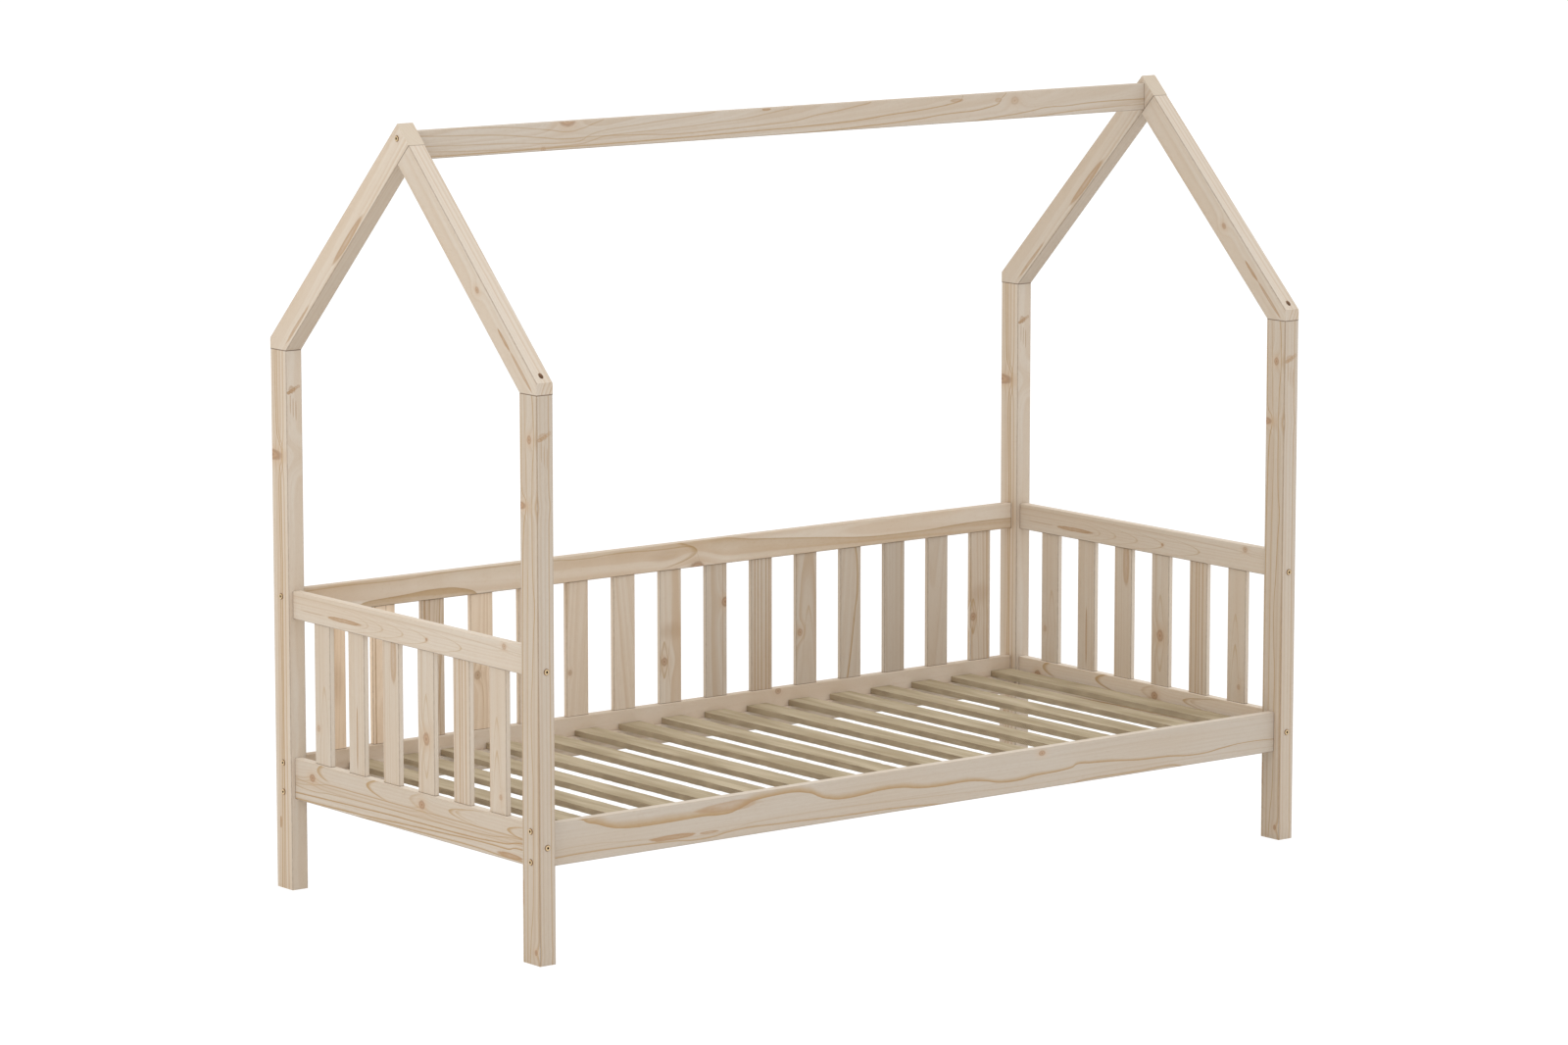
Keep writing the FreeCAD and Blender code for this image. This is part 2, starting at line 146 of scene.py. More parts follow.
class Value:
    """A number that changes over a surface. Sums on it add Math nodes to its material."""

    def __init__(self, finish, socket):
        self.finish = finish
        self.socket = socket

    __add__ = __radd__ = operator("ADD")
    __sub__ = operator("SUBTRACT")
    __mul__ = __rmul__ = operator("MULTIPLY")
    __truediv__ = operator("DIVIDE")
    __pow__ = operator("POWER")
    __abs__ = operator("ABSOLUTE")
    root = operator("SQRT")
    whole = operator("FLOOR")
    least = operator("MINIMUM")
    most = operator("MAXIMUM")
    sine = operator("SINE")
    exponent = operator("EXPONENT")

    def __rsub__(self, other):
        return self.finish.add("ShaderNodeMath", {"operation": "SUBTRACT"}, {0: other, 1: self})

    def fade(self):
        """e to the power of minus this: 1 at zero, and falling off smoothly."""
        return (self * -1).exponent()

    def step(self, low, high):
        """0 below low, 1 above high, and a smooth step between them."""
        return self.finish.add("ShaderNodeMapRange", {"interpolation_type": "SMOOTHSTEP"},
                               {"Value": self, "From Min": low, "From Max": high}, "Result")


class Finish:
    """One material. Its surface is a Principled shader, whose sockets are set by name."""

    def __init__(self, name, **constants):
        self.material = bpy.data.materials.new(name)
        self.material.use_nodes = True
        self.tree = self.material.node_tree
        self.surface = self.tree.nodes["Principled BSDF"]
        for socket, value in constants.items():
            self.surface.inputs[socket.replace("_", " ")].default_value = value

    def put(self, socket, value):
        """Links a Value to a socket, or sets it to a plain number, colour or vector."""
        if isinstance(value, Value):
            self.tree.links.new(value.socket, socket)
        elif isinstance(value, (tuple, list)) and len(value) == 3 and socket.type == "RGBA":
            socket.default_value = (*value, 1)
        else:
            socket.default_value = value

    def add(self, kind, settings=None, sockets=None, output=0):
        """A node of any type: first its settings, then its sockets. Returns one output."""
        node = self.tree.nodes.new(kind)
        for setting, value in (settings or {}).items():
            if setting == "points":
                self.set_curve(node.mapping, value)
            else:
                setattr(node, setting, value)
        for socket, value in (sockets or {}).items():
            self.put(node.inputs[socket], value)
        return Value(self, node.outputs[output])

    @staticmethod
    def set_curve(mapping, points):
        """Draws a curve through points, the first and last of which are at 0 and 1."""
        curve = mapping.curves[0]
        for place, height in points[1:-1]:
            curve.points.new(place, height)
        for point, spot in zip(curve.points, points):
            point.location = spot
        mapping.update()

    def show(self, socket, value):
        """Feeds one socket of the surface."""
        self.put(self.surface.inputs[socket], value)

    def dot(self, vector, direction):
        return self.add("ShaderNodeVectorMath", {"operation": "DOT_PRODUCT"},
                        {0: vector, 1: tuple(direction)}, "Value")

    def less(self, vector, other):
        return self.add("ShaderNodeVectorMath", {"operation": "SUBTRACT"},
                        {0: vector, 1: tuple(other)})

    def point(self, x, y=0, z=0):
        return self.add("ShaderNodeCombineXYZ", None, {0: x, 1: y, 2: z})

    def noise(self, vector, seed, detail=2):
        """Soft random hills between 0 and 1, about one to a unit of the vector."""
        return self.add("ShaderNodeTexNoise", {"noise_dimensions": "4D"},
                        {"Vector": vector, "W": seed, "Scale": 1, "Detail": detail,
                         "Roughness": 0.5})

    def grain(self, where, to_a_metre, seed, detail=2):
        """Noise with so many hills to a metre along, across and through a timber."""
        stretched = [side * count for side, count in zip(where, to_a_metre)]
        return self.noise(self.point(*stretched), seed, detail)

    def object_place(self, scale=1):
        """Where a point is in the bed, in metres or in smaller steps."""
        place = self.add("ShaderNodeTexCoord", output="Object")
        if scale == 1:
            return place
        return self.add("ShaderNodeVectorMath", {"operation": "SCALE"}, {0: place, "Scale": scale})

    def facing(self):
        """The way in which the surface looks."""
        return self.add("ShaderNodeNewGeometry", output="True Normal")

    def dice(self, number):
        """One random number for each whole number."""
        return self.add("ShaderNodeTexWhiteNoise", {"noise_dimensions": "1D"}, {"W": number})

    def mix(self, share, first, second, way="MIX"):
        """A blend of two colours."""
        return self.add("ShaderNodeMix", {"data_type": "RGBA", "blend_type": way},
                        {0: share, 6: first, 7: second}, 2)

    def bump(self, height, distance, strength=1.0):
        """A surface normal from a height between 0 and 1."""
        return self.add("ShaderNodeBump", None,
                        {"Height": height, "Distance": distance, "Strength": strength})


def srgb(red, green, blue, brighter=1.0):
    """A colour as a picture program names it, 0 to 255, turned into amounts of light."""
    def light(level):
        part = level / 255
        return part / 12.92 if part <= 0.04045 else ((part + 0.055) / 1.055) ** 2.4
    return tuple(light(level) * brighter for level in (red, green, blue))


print("middle grey as light:", round(srgb(128, 128, 128)[0], 3))

# %% [markdown]
# ## Pine, cut from a log
#
# A photograph of wood glued on a timber shows the same picture on every side. Real pine is solid:
# the growth rings are long tubes round the tree's heart, and each face of a timber cuts them in
# its own way. Beside the heart the cut gives straight lines, and where a face just grazes a ring
# it gives tall arches. So the material measures, at each point, the distance from a heart that
# lies beside or behind the timber. The heart leans against the timber and dives into it, which
# sets how far apart the arches lie.
#
# Within a ring the wood darkens slowly towards autumn and then jumps back to pale. Most rings are
# faint. A roll of the dice makes a few browner, and a timber's boldest rings are named by their
# radius.

# %% Place in the log
WANDER = (1.1, 3, 3)            # hills to a metre along, across and through: the whole tree
RIPPLE = (9, 30, 30)            # and single rings
RIPPLE_DEPTH = 0.0022


@dataclass
class Log:
    """How a timber lay in its tree. All lengths are in metres, from the timber's middle."""

    seed: float
    across: float               # the heart's place
    through: float
    ring: float = 0.009         # growth in a year
    strength: float = 0.3       # how much browner a lucky ring gets
    faint: float = 0.15         # how brown every ring is
    lean: float = 0.0           # the heart's slant sideways
    dive: float = 0.0           # and into the timber
    wander: float = 0.008
    bold: tuple = ()            # radii of rings that stand out
    boldness: float = 0.7


def place_in_board(finish, board):
    """How far a point is along, across and through a timber, from its middle, in metres."""
    place = finish.less(finish.object_place(), board.middle)
    return (finish.dot(place, board.along), finish.dot(place, board.across),
            finish.dot(place, board.through))


def distance_from_heart(finish, where, log):
    """Distance from the tree's heart, with the wander of a tree that grew in wind and snow."""
    along, across, through = where
    wander = finish.grain(where, WANDER, log.seed, 1) - 0.5
    ripple = finish.grain(where, RIPPLE, log.seed + 7) - 0.5
    side = across - log.across + along * log.lean
    deep = through - log.through - along * log.dive
    distance = (side * side + deep * deep).root()
    return distance + wander * log.wander + ripple * RIPPLE_DEPTH


print("a year's growth, where nothing else is said:", Log.ring * 1000, "mm")

# %% Rings of the log
AUTUMN = (0.2, 0.85)            # part of the year in which the wood darkens
WINTER = (0.88, 1.0)            # and in which it jumps back to pale
BOLD_EDGE = 0.0014              # how soft a bold ring's sharp side is


def autumn_wood(finish, where, distance, log):
    """How brown the growth rings are, from 0 to 1."""
    uneven = finish.noise(finish.point(distance * 45), log.seed + 2, 0) * 2.4
    years = distance / log.ring + uneven
    number = years.whole()
    part = years - number
    strength = finish.dice(number + log.seed * 31) ** 2.5 * log.strength + log.faint
    brown = part.step(*AUTUMN) * (1 - part.step(*WINTER)) * strength
    thick = finish.noise(finish.point(distance * 30, where[0] * 6), log.seed + 21, 1)
    for radius in log.bold:
        width = 0.003 + 0.006 * thick
        soft = ((distance - radius) / width + 1).step(0, 1)
        line = soft * (1 - distance.step(radius, radius + BOLD_EDGE))
        brown = brown.most(line * log.boldness)
    return brown


print("the wood darkens from", AUTUMN[0], "to", AUTUMN[1], "of each year")


# %% [markdown]
# ## Knots
#
# A knot is a branch that the board cuts through. It is a round plug of dark, dense wood with a
# thin brown rim, and the rings swell where they flow round it. Each knot is a point on a face,
# and the branch runs straight through the timber from there. The same distance that draws the plug
# also pushes the rings outwards.

# %% Knots
SWELL = 0.9                     # how far a knot pushes the rings out, as a share of its radius
SWELL_RADIUS = 0.009            # of which no more than this counts
KNOT_HALO = srgb(196, 166, 134)
KNOT_PLUG = srgb(172, 136, 104)
KNOT_RIM = srgb(138, 99, 70)


@dataclass
class Knot:
    """A branch through a timber, at a place on its wide face."""

    along: float
    sideways: float
    radius: float
    depth: float = 1.0          # of its colour
    stretch: float = 1.2        # how much longer than high it is

    def span(self, where):
        """Distance from the branch's middle line, as a share of its radius."""
        along, across, _ = where
        run = (along - self.along) / (self.radius * self.stretch)
        off = (across - self.sideways) / self.radius
        return (run * run + off * off).root()

    def swell(self, span):
        """How far the knot pushes the rings outwards."""
        return (span * span * 0.12).fade() * (min(self.radius, SWELL_RADIUS) * SWELL)


def draw_knot(finish, colour, knot, span, speckle, face):
    """Lays a knot over the wood: a warm halo, a brown plug with fine rings, and a thin rim."""
    edge = span + (speckle - 0.5) * 0.5
    face = face * knot.depth
    halo = (span * span * 0.35).fade() * 0.8
    plug = 1 - edge.step(0.6, 1.1)
    rings = (span * 11).sine() * 0.2 + 0.75
    rim = edge.step(0.6, 0.9) * (1 - edge.step(0.95, 1.25))
    pith = 1 - edge.step(0.1, 0.45)
    colour = finish.mix(halo * face, colour, KNOT_HALO)
    colour = finish.mix(plug * rings * face, colour, KNOT_PLUG)
    return finish.mix((rim * 0.45).most(pith * 0.55) * face, colour, KNOT_RIM)


print("a knot moves the rings by up to", round(SWELL_RADIUS * SWELL * 1000, 1), "mm")

# %% [markdown]
# ## Brown streaks
#
# Here and there a face grazes one brown ring or a pocket of resin, and a brown streak lies along
# the grain. It is drawn as a long thin oval whose edge is frayed by the fibres. With little
# fraying it is the lens of a ring that the face just touches.

# %% Streaks
STREAK_BROWN = srgb(170, 134, 95)


@dataclass
class Streak:
    """A brown streak, on a timber's wide face or on its narrow one."""

    along: float
    sideways: float
    half_length: float
    half_height: float
    depth: float = 0.6
    wide: bool = True
    fray: float = 0.9           # how far the fibres break its edge
    edge: float = 0.25          # how soft the edge is, and with 1 it is a smudge


def draw_streak(finish, colour, streak, where, speckle, frayed, face):
    """Lays a streak over the wood, browner towards its edge."""
    along, across, through = where
    run = (along - streak.along) / streak.half_length
    off = ((across if streak.wide else through) - streak.sideways) / streak.half_height
    rough = (frayed - 0.5) + (speckle - 0.5) * 0.4
    span = (run * run + off * off).root() + rough * streak.fray
    share = (1 - span.step(1 - streak.edge, 1)) * (span.least(1) * 0.4 + speckle * 0.3 + 0.45)
    return finish.mix(share * face * streak.depth, colour, STREAK_BROWN)


print("streaks are as brown as light", [round(level, 3) for level in STREAK_BROWN])

# %% [markdown]
# ## Arches
#
# Where a ring's side just touches the face, the cut is a long pointed arch, which joiners call a
# cathedral. The log makes some by itself. The ones that stand out in the photograph are placed one
# by one, each as a parabola with a sharp outer line and a soft inner one.

# %% Arches
FADE_BROWN = srgb(171, 133, 76)
ARCH_FRAY = 0.002


@dataclass
class Arch:
    """A ring's arch. Along and sideways are the place of its tip."""

    along: float
    sideways: float
    flare: float                # how fast it opens
    way: int = 1                # which way the tip points
    reach: float = 0.15
    depth: float = 0.6
    soft: float = 0.022         # width of the inner side


def draw_arch(finish, colour, arch, where, speckle, frayed, face):
    """Lays an arch over the wood, and lets it fade away from its tip."""
    along, across, _ = where
    behind = (arch.along - along) * arch.way
    off = across - arch.sideways + (frayed - 0.5) * ARCH_FRAY
    inside = behind - off * off / arch.flare
    line = inside.step(-0.003, 0.0015) * (1 - inside.step(0.003, arch.soft))
    share = line * (1 - behind.step(arch.reach * 0.4, arch.reach)) * (speckle * 0.3 + 0.75)
    return finish.mix(share * face * arch.depth, colour, FADE_BROWN)


print("arches are as brown as light", [round(level, 3) for level in FADE_BROWN])

# %% [markdown]
# ## Ring lines
#
# A bold ring that a face cuts at a low angle wanders along the whole board: it bends round knots,
# and now and then runs out over an edge. Such a line is drawn along a curve through a few places
# that were read from the photograph. It is sharp on the side where the year ends, and fades on the
# other, over a width that swells and thins.

# %% Lines along the boards
LINE_BROWN = srgb(150, 114, 72)
LINE_REACH = 0.05               # a line's places are at most this far from the middle
LINE_FRAY = 0.0012
SHARP_SIDE = (-0.0013, 0.0003)  # from pale to brown, across the line
CORE_SIDE = (0.0003, 0.0028)    # and from its brown core to the part that fades


@dataclass
class RingLine:
    """A ring cut along a board, through places (along, across).

    Two fades mean that its width changes evenly from 1 m left of the middle to 1 m right of it.
    """

    places: list
    fade: float = 0.004         # width of its soft side
    way: int = 1                # the side to which it fades: 1 is up
    depth: float = 0.6

    def fade_width(self, along):
        if isinstance(self.fade, float):
            return self.fade
        left, right = self.fade
        return along * ((right - left) / 2) + (right + left) / 2


def draw_line(finish, colour, line, where, speckle, frayed, thick, face):
    """Lays a line over the wood: a fading brown side, and a thin darker core."""
    along, across, _ = where
    points = [(place / 2 + 0.5, level / (2 * LINE_REACH) + 0.5) for place, level in line.places]
    curve = finish.add("ShaderNodeFloatCurve", {"points": points}, {"Value": along * 0.5 + 0.5})
    off = across - (curve - 0.5) * (2 * LINE_REACH)
    off = off * line.way + (frayed - 0.5) * LINE_FRAY
    sharp = off.step(*SHARP_SIDE) * (speckle * 0.3 + 0.8)
    fading = 1 - (off / ((thick + 0.25) * line.fade_width(along))).step(-0.2, 1)
    colour = finish.mix(sharp * fading * face * line.depth, colour, FADE_BROWN)
    core = sharp * (1 - off.step(*CORE_SIDE)) * face
    return finish.mix(core * (line.depth * 0.25), colour, LINE_BROWN)


print("ring lines stay within", LINE_REACH * 1000, "mm of a board's middle")

# %% [markdown]
# ## Wood round the screws
#
# At each rafter's foot, and in the back of the gable, a screw sits deep in a round hole. Little
# light gets in, so the wood within the hole's radius is painted brown as shade. The imported model
# has these holes. Round the yellow screws, which stand proud, a thin dark ring of painted shade lies
# where the head meets the wood. The places of the screws could be typed in, but then a moved screw
# would leave its ring behind. So they are measured: each solid of a fastener node is a screw, whose
# wider end is its head.

# %% Where the fasteners are
SAME_POINT = 1e-6               # corners this close are one
SAME_LEVEL = 1e-4               # points this close along a screw are at the same end of it


def solids_of(name):
    """The corners of each separate solid of a CAD node, in an order that is always the same."""
    mesh = bmesh.new()
    mesh.from_mesh(nodes[name].data)
    bmesh.ops.remove_doubles(mesh, verts=mesh.verts, dist=SAME_POINT)
    found = set()
    solids = []
    for first in mesh.verts:
        if first in found:
            continue
        found.add(first)
        solid = [first]
        for corner in solid:    # which grows on the way, by the corners at its edges' other ends
            for edge in corner.link_edges:
                other = edge.other_vert(corner)
                if other not in found:
                    found.add(other)
                    solid.append(other)
        solids.append([corner.co.copy() for corner in solid])
    mesh.free()
    return solids


def sum_of(points):
    return sum(points, Vector())


class Fastener:
    """A screw's or dowel's middle line: the top of its head, its direction and its length."""

    def __init__(self, points):
        far = max(points, key=lambda point: (point - points[0]).length)
        rough = max(points, key=lambda point: (point - far).length) - far
        self.direction = self.snapped(rough.normalized())
        depths = [point.dot(self.direction) for point in points]
        low, high = min(depths), max(depths)
        head = [point for point, depth in zip(points, depths) if depth < low + SAME_LEVEL]
        tip = [point for point, depth in zip(points, depths) if depth > high - SAME_LEVEL]
        if self.width(tip) > self.width(head) + SAME_LEVEL:
            self.direction = -self.direction
            head = tip
        self.length = high - low
        self.top = sum_of(head) / len(head)

    @staticmethod
    def snapped(rough):
        """The nearest of the directions in which this bed's fasteners point."""
        slant = math.sqrt(0.5)
        choices = list(AXES) + [Vector((0, slant, slant)), Vector((0, slant, -slant))]
        return max(choices, key=lambda choice: abs(choice.dot(rough))).copy()

    def width(self, points):
        flat = [point - self.direction * point.dot(self.direction) for point in points]
        return max((one - other).length for one in flat for other in flat)


fasteners = {name: [Fastener(solid) for solid in solids_of(name)]
             for name in ("connector_screws_short", "connector_screws_long", "eaves_screws",
                          "apex_screws", "wood_dowels")}
for name, found in fasteners.items():
    print(name, len(found), "of", round(found[0].length, 4), "m, first head at",
          [round(value, 4) for value in found[0].top])

# %% Marks of the screws
# Painted shade inside the sunk screws' holes and in a ring round each proud head.
HOLE_SHADE = srgb(138, 104, 76)
WELL_RADIUS = 0.00515           # a little more than the drilled hole's
SHADE_RING_RADIUS = 0.0066         # round a yellow screw's head
HEAD_SLACK = 0.003              # a proud head's top is at most this far outside its timber

sunk_screws = fasteners["eaves_screws"] + fasteners["apex_screws"]
proud_screws = fasteners["connector_screws_short"] + fasteners["connector_screws_long"]


def screws_in(name, screws, slack=0.0):
    """The screws whose heads are in a timber's box, or no further outside it than the slack."""
    low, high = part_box(name)
    return [screw for screw in screws
            if all(low[side] - slack < screw.top[side] < high[side] + slack for side in range(3))]


def from_axis(finish, screw):
    """Distance from a screw's middle line."""
    place = finish.less(finish.object_place(), screw.top)
    off = finish.add("ShaderNodeVectorMath", {"operation": "CROSS_PRODUCT"},
                     {0: place, 1: tuple(screw.direction)})
    return finish.add("ShaderNodeVectorMath", {"operation": "LENGTH"}, {0: off}, "Value")


def darken_holes(finish, colour, screws):
    """Browns the wood within the radius of each sunk screw's hole, as painted shade."""
    for screw in screws:
        inside = 1 - from_axis(finish, screw).step(WELL_RADIUS, WELL_RADIUS + 0.0002)
        colour = finish.mix(inside, colour, HOLE_SHADE)
    return colour


def ring_screws(finish, colour, screws):
    """Draws a dark ring of painted shade round each proud head, on the face that it sits on."""
    for screw in screws:
        on_face = (finish.dot(finish.facing(), screw.direction) * -1).step(0.5, 0.9)
        ring = 1 - from_axis(finish, screw).step(SHADE_RING_RADIUS, SHADE_RING_RADIUS + 0.0007)
        colour = finish.mix(ring * on_face * 0.8, colour, HOLE_SHADE)
    return colour


print(len(sunk_screws), "sunk screws and", len(proud_screws), "proud ones")

# %% [markdown]
# ## Planed pine
#
# The planed timbers are bare: no oil, no varnish. They are pale, slightly pink, and matt. On top
# of the rings and knots lie fine fibres, a soft change of tone from place to place, and a browner
# end grain. Each rounded edge gets a thin darker line, and on the rails and the ridge board only the
# lower edges do. Where two timbers meet, a thin dark line of painted shade is drawn. Some timbers
# also have one side painted lighter as light or darker as shade, and some are painted warmer as
# bounced light. Each timber gets a material of its own, because each has its own place in the
# log. A picture of wood would repeat, and would not run on round a corner.

# %% Colours of the pine
PALE_PINE = (206, 194, 179)
ROSY_PINE = (203, 187, 168)
WARM_BOUNCE_PINE = (212, 184, 152)
RING_BROWN = (184, 156, 124)
END_GRAIN = srgb(203, 187, 165)
PAINTED_LIGHT_PINE = srgb(232, 220, 204)
PAINTED_SHADE_PINE = srgb(168, 151, 132)
EDGE_LINE = srgb(142, 124, 106)
JOINT_SHADE = srgb(108, 86, 66)
JOINT_HALF = 0.0013             # half the width of the line where two timbers meet


@dataclass
class Timber:
    """What one timber shows, and how its tone differs from plain pine."""

    log: Log
    knots: list = ()
    streaks: list = ()
    arches: list = ()
    lines: list = ()
    paler: float = 0.0
    side_light: float = 0.0          # painted light on one side, or below 0, painted shade
    # painted warm light, as bounced into the bed's left corner
    warm: float = 0.0


def clear_wood(finish, timber, tone, brown, grain):
    """The wood between the marks: pale and rosy patches, painted warm bounce light, growth rings and
    fibres.
    """
    pale, rosy, warm, ring = (srgb(*colour, 1 + timber.paler)
                              for colour in (PALE_PINE, ROSY_PINE, WARM_BOUNCE_PINE, RING_BROWN))
    colour = finish.mix(tone.step(0.3, 0.7), pale, rosy)
    if timber.warm:
        colour = finish.mix(timber.warm, colour, warm)
    colour = finish.mix(brown, colour, ring)
    return finish.mix(grain, colour, ring)


print("pale pine as light:", [round(level, 3) for level in srgb(*PALE_PINE)])

# %% Planed pine
TONE = (2, 12, 12)              # hills to a metre along, across and through
FIBRE = (50, 900, 900)
SPECKLE = (110, 240, 240)
FRAY = (14, 110, 110)
FACE_STEP = (0.6, 0.8)          # how squarely a surface looks one way to count as that face
CORNER_STEP = (0.12, 0.25)      # and how far it has turned to be on the rounded edge


def planed_pine(board, timber, joints=(), all_edges=True, cells=None, holes=(), heads=(),
                painted_side=Z_AXIS):
    """The material of one planed timber. Cells are for a row of spindles in one node."""
    finish = Finish("pine_" + board.name)
    seed = timber.log.seed
    spot = place_in_board(finish, board)
    where = cells(finish, spot) if cells else spot
    spans = [knot.span(spot) for knot in timber.knots]
    distance = distance_from_heart(finish, where, timber.log)
    for knot, span in zip(timber.knots, spans):
        distance = distance + knot.swell(span)
    brown = autumn_wood(finish, where, distance, timber.log)
    tone = finish.grain(where, TONE, seed + 3)
    fine = finish.noise(finish.point(where[0] * 3, distance * 600), seed + 11)
    fibre = finish.grain(where, FIBRE, seed + 5)
    speckle = finish.grain(where, SPECKLE, seed + 9)
    frayed = finish.grain(where, FRAY, seed + 13, 3)
    thick = finish.noise(finish.point(where[0] * 9), seed + 15)
    grain = fine.step(0.4, 0.75) * 0.2 + fibre.step(0.45, 0.85) * 0.18
    colour = clear_wood(finish, timber, tone, brown, grain + speckle.step(0.5, 0.8) * 0.15)

    facing = finish.facing()
    flat = abs(finish.dot(facing, board.through))
    steep = abs(finish.dot(facing, board.across))
    wide_face, narrow_face = flat.step(*FACE_STEP), steep.step(*FACE_STEP)
    for line in timber.lines:
        colour = draw_line(finish, colour, line, spot, speckle, frayed, thick, wide_face)
    for arch in timber.arches:
        colour = draw_arch(finish, colour, arch, spot, speckle, frayed, wide_face)
    for streak in timber.streaks:
        face = wide_face if streak.wide else narrow_face
        colour = draw_streak(finish, colour, streak, spot, speckle, frayed, face)
    for knot, span in zip(timber.knots, spans):
        colour = draw_knot(finish, colour, knot, span, speckle, wide_face)

    end = abs(finish.dot(facing, board.along)).step(0.8, 0.95)
    colour = finish.mix(end * 0.6, colour, END_GRAIN)
    # Painted light on one side of the timber, or painted shade when the share is below 0.
    if timber.side_light:
        turned = finish.dot(facing, painted_side).step(0.55, 0.9)
        side_colour = PAINTED_LIGHT_PINE if timber.side_light > 0 else PAINTED_SHADE_PINE
        colour = finish.mix(turned * abs(timber.side_light), colour, side_colour)
    # A thin darker line on each rounded edge; with all_edges off, only on the lower edges.
    edge = flat.step(*CORNER_STEP) * steep.step(*CORNER_STEP) * (0.3 + speckle * 0.9)
    if not all_edges:
        edge = edge * (1 - finish.dot(facing, Z_AXIS).step(-0.1, 0.1))
    colour = finish.mix(edge * 0.7, colour, EDGE_LINE)
    # A thin dark line of painted shade where two timbers meet.
    for direction, level in joints:
        off = abs(finish.dot(finish.object_place(), direction) - level)
        line = 1 - off.step(JOINT_HALF * 0.6, JOINT_HALF)
        colour = finish.mix(line * 0.85, colour, JOINT_SHADE)
    colour = darken_holes(finish, colour, holes)
    finish.show("Base Color", ring_screws(finish, colour, heads))
    finish.show("Roughness", fine * 0.12 + 0.56)
    height = fibre * 0.6 + brown * 0.35 + fine * 0.3
    finish.show("Normal", finish.bump(height, 0.0003, 0.5))
    return finish.material


def dress(name, material):
    """Gives a CAD node one material."""
    slots = nodes[name].data.materials
    slots.clear()
    slots.append(material)


print("the finest fibres are", round(1000 / FIBRE[1], 2), "mm apart")

# %% [markdown]
# ## Which piece of the log each timber is
#
# A heart far to one side of the wide face gives that face straight lines. A heart behind it gives
# arches, whose tips point where the board dives. That alone looks like pine, but not like these
# boards. So what stands out on each timber is listed one by one, at places measured from its middle.
# The pieces of one kind at the left and at the right came from neighbouring parts of the same
# plank, so they share a log and its marks, and differ only a little in tone.
#
# The posts' narrow faces have lines that bend round a knot, and near their tops a small fan of
# fibres. It is built from a few short streaks, one above the other.

# %% Posts
POST_TOP = 1.175
POST_JOINT = [(Z_AXIS, POST_TOP)]
FEATHER_HEIGHT = 0.503          # above a post's middle


def feather(sideways, depth):
    """The slanting strokes where a narrow face has cut a fan of fibres beside a branch."""
    strokes = [Streak(FEATHER_HEIGHT, sideways + 0.008, 0.0100, 0.0120, depth=depth * 0.6,
                      wide=False, fray=1.3)]
    for number in range(5):
        rise = (number - 2) * 0.0030
        strokes.append(Streak(FEATHER_HEIGHT + rise, sideways + 0.006 * number, 0.0048, 0.0055,
                              depth=depth * (1 - 0.12 * number), wide=False, fray=1.0))
    for number in range(3):
        strokes.append(Streak(FEATHER_HEIGHT - 0.030 - 0.008 * number,
                              sideways + 0.004 + 0.007 * number, 0.026, 0.0014,
                              depth=depth * 0.8, wide=False, fray=0.6))
    return strokes


front_post = Timber(
    Log(3.0, 0.060, 0.130, ring=0.0077, strength=0.85, faint=0.24),
    knots=[Knot(0.4955, -0.003, 0.007, depth=0.8), Knot(0.3590, 0.030, 0.018, stretch=0.42),
           Knot(-0.5605, -0.016, 0.0045)],
    streaks=[Streak(-0.4425, 0.027, 0.030, 0.003, depth=1.0)] + feather(-0.013, 0.75),
    lines=[RingLine([
        (-0.59, 0.024), (0, 0.0245), (0.2, 0.022), (0.3, 0.018), (0.338, 0.013), (0.36, 0.008),
        (0.378, 0.014), (0.385, 0.021), (0.404, 0.024), (0.4625, 0.025), (0.59, 0.0263)
    ], fade=0.0045, depth=1.0),
           RingLine([
               (-0.59, 0.0044), (-0.529, -0.0002), (-0.467, -0.0071), (-0.279, -0.0094),
               (-0.217, -0.0103), (-0.154, -0.0071), (-0.071, -0.0048), (0.0125, -0.01),
               (0.108, -0.0153), (0.15, -0.019), (0.192, -0.0153), (0.233, -0.013),
               (0.354, -0.0121), (0.43, -0.014), (0.495, -0.019), (0.59, -0.012)
           ], fade=0.0045, depth=0.8),
           RingLine([
               (-0.59, 0.014), (-0.2, 0.01), (0.1, 0.008), (0.33, 0.003), (0.4, 0.008),
               (0.495, 0.011), (0.59, 0.014)], fade=0.0035, way=-1, depth=0.55)])
back_post = Timber(
    Log(8.0, 0.120, 0.020, ring=0.0085, strength=0.80, faint=0.2, bold=(0.1195, 0.1290),
        boldness=0.6),
    knots=[Knot(0.3590, 0.034, 0.040, stretch=0.28)],
    streaks=[Streak(-0.4430, 0.0125, 0.015, 0.005, depth=1.0)] + feather(-0.014, 1.0),
    lines=[RingLine([
        (-0.59, 0.009), (-0.42, 0.0039), (-0.31, 0.0034), (-0.154, 0.0007), (0.0125, 0.0016),
        (0.1, -0.001), (0.2, 0.001), (0.3, 0.002), (0.335, -0.002), (0.36, -0.009),
        (0.385, -0.002), (0.395, 0.004), (0.421, 0.0098), (0.5, 0.013), (0.59, 0.014)
    ], fade=0.0045, depth=1.0),
           RingLine([
               (-0.59, 0.001), (-0.42, -0.003), (-0.32, -0.0034), (0.0125, -0.0053), (0.1, -0.008),
               (0.2, -0.006), (0.3, -0.005), (0.36, -0.014), (0.39, -0.007), (0.404, 0),
               (0.421, 0.0025), (0.59, 0.0057)], fade=0.0040, depth=0.9),
           RingLine([
               (-0.59, 0.017), (-0.3, 0.014), (0, 0.012), (0.3, 0.014), (0.38, 0.014),
               (0.42, 0.018), (0.59, 0.021)], fade=0.0030, depth=0.4)])
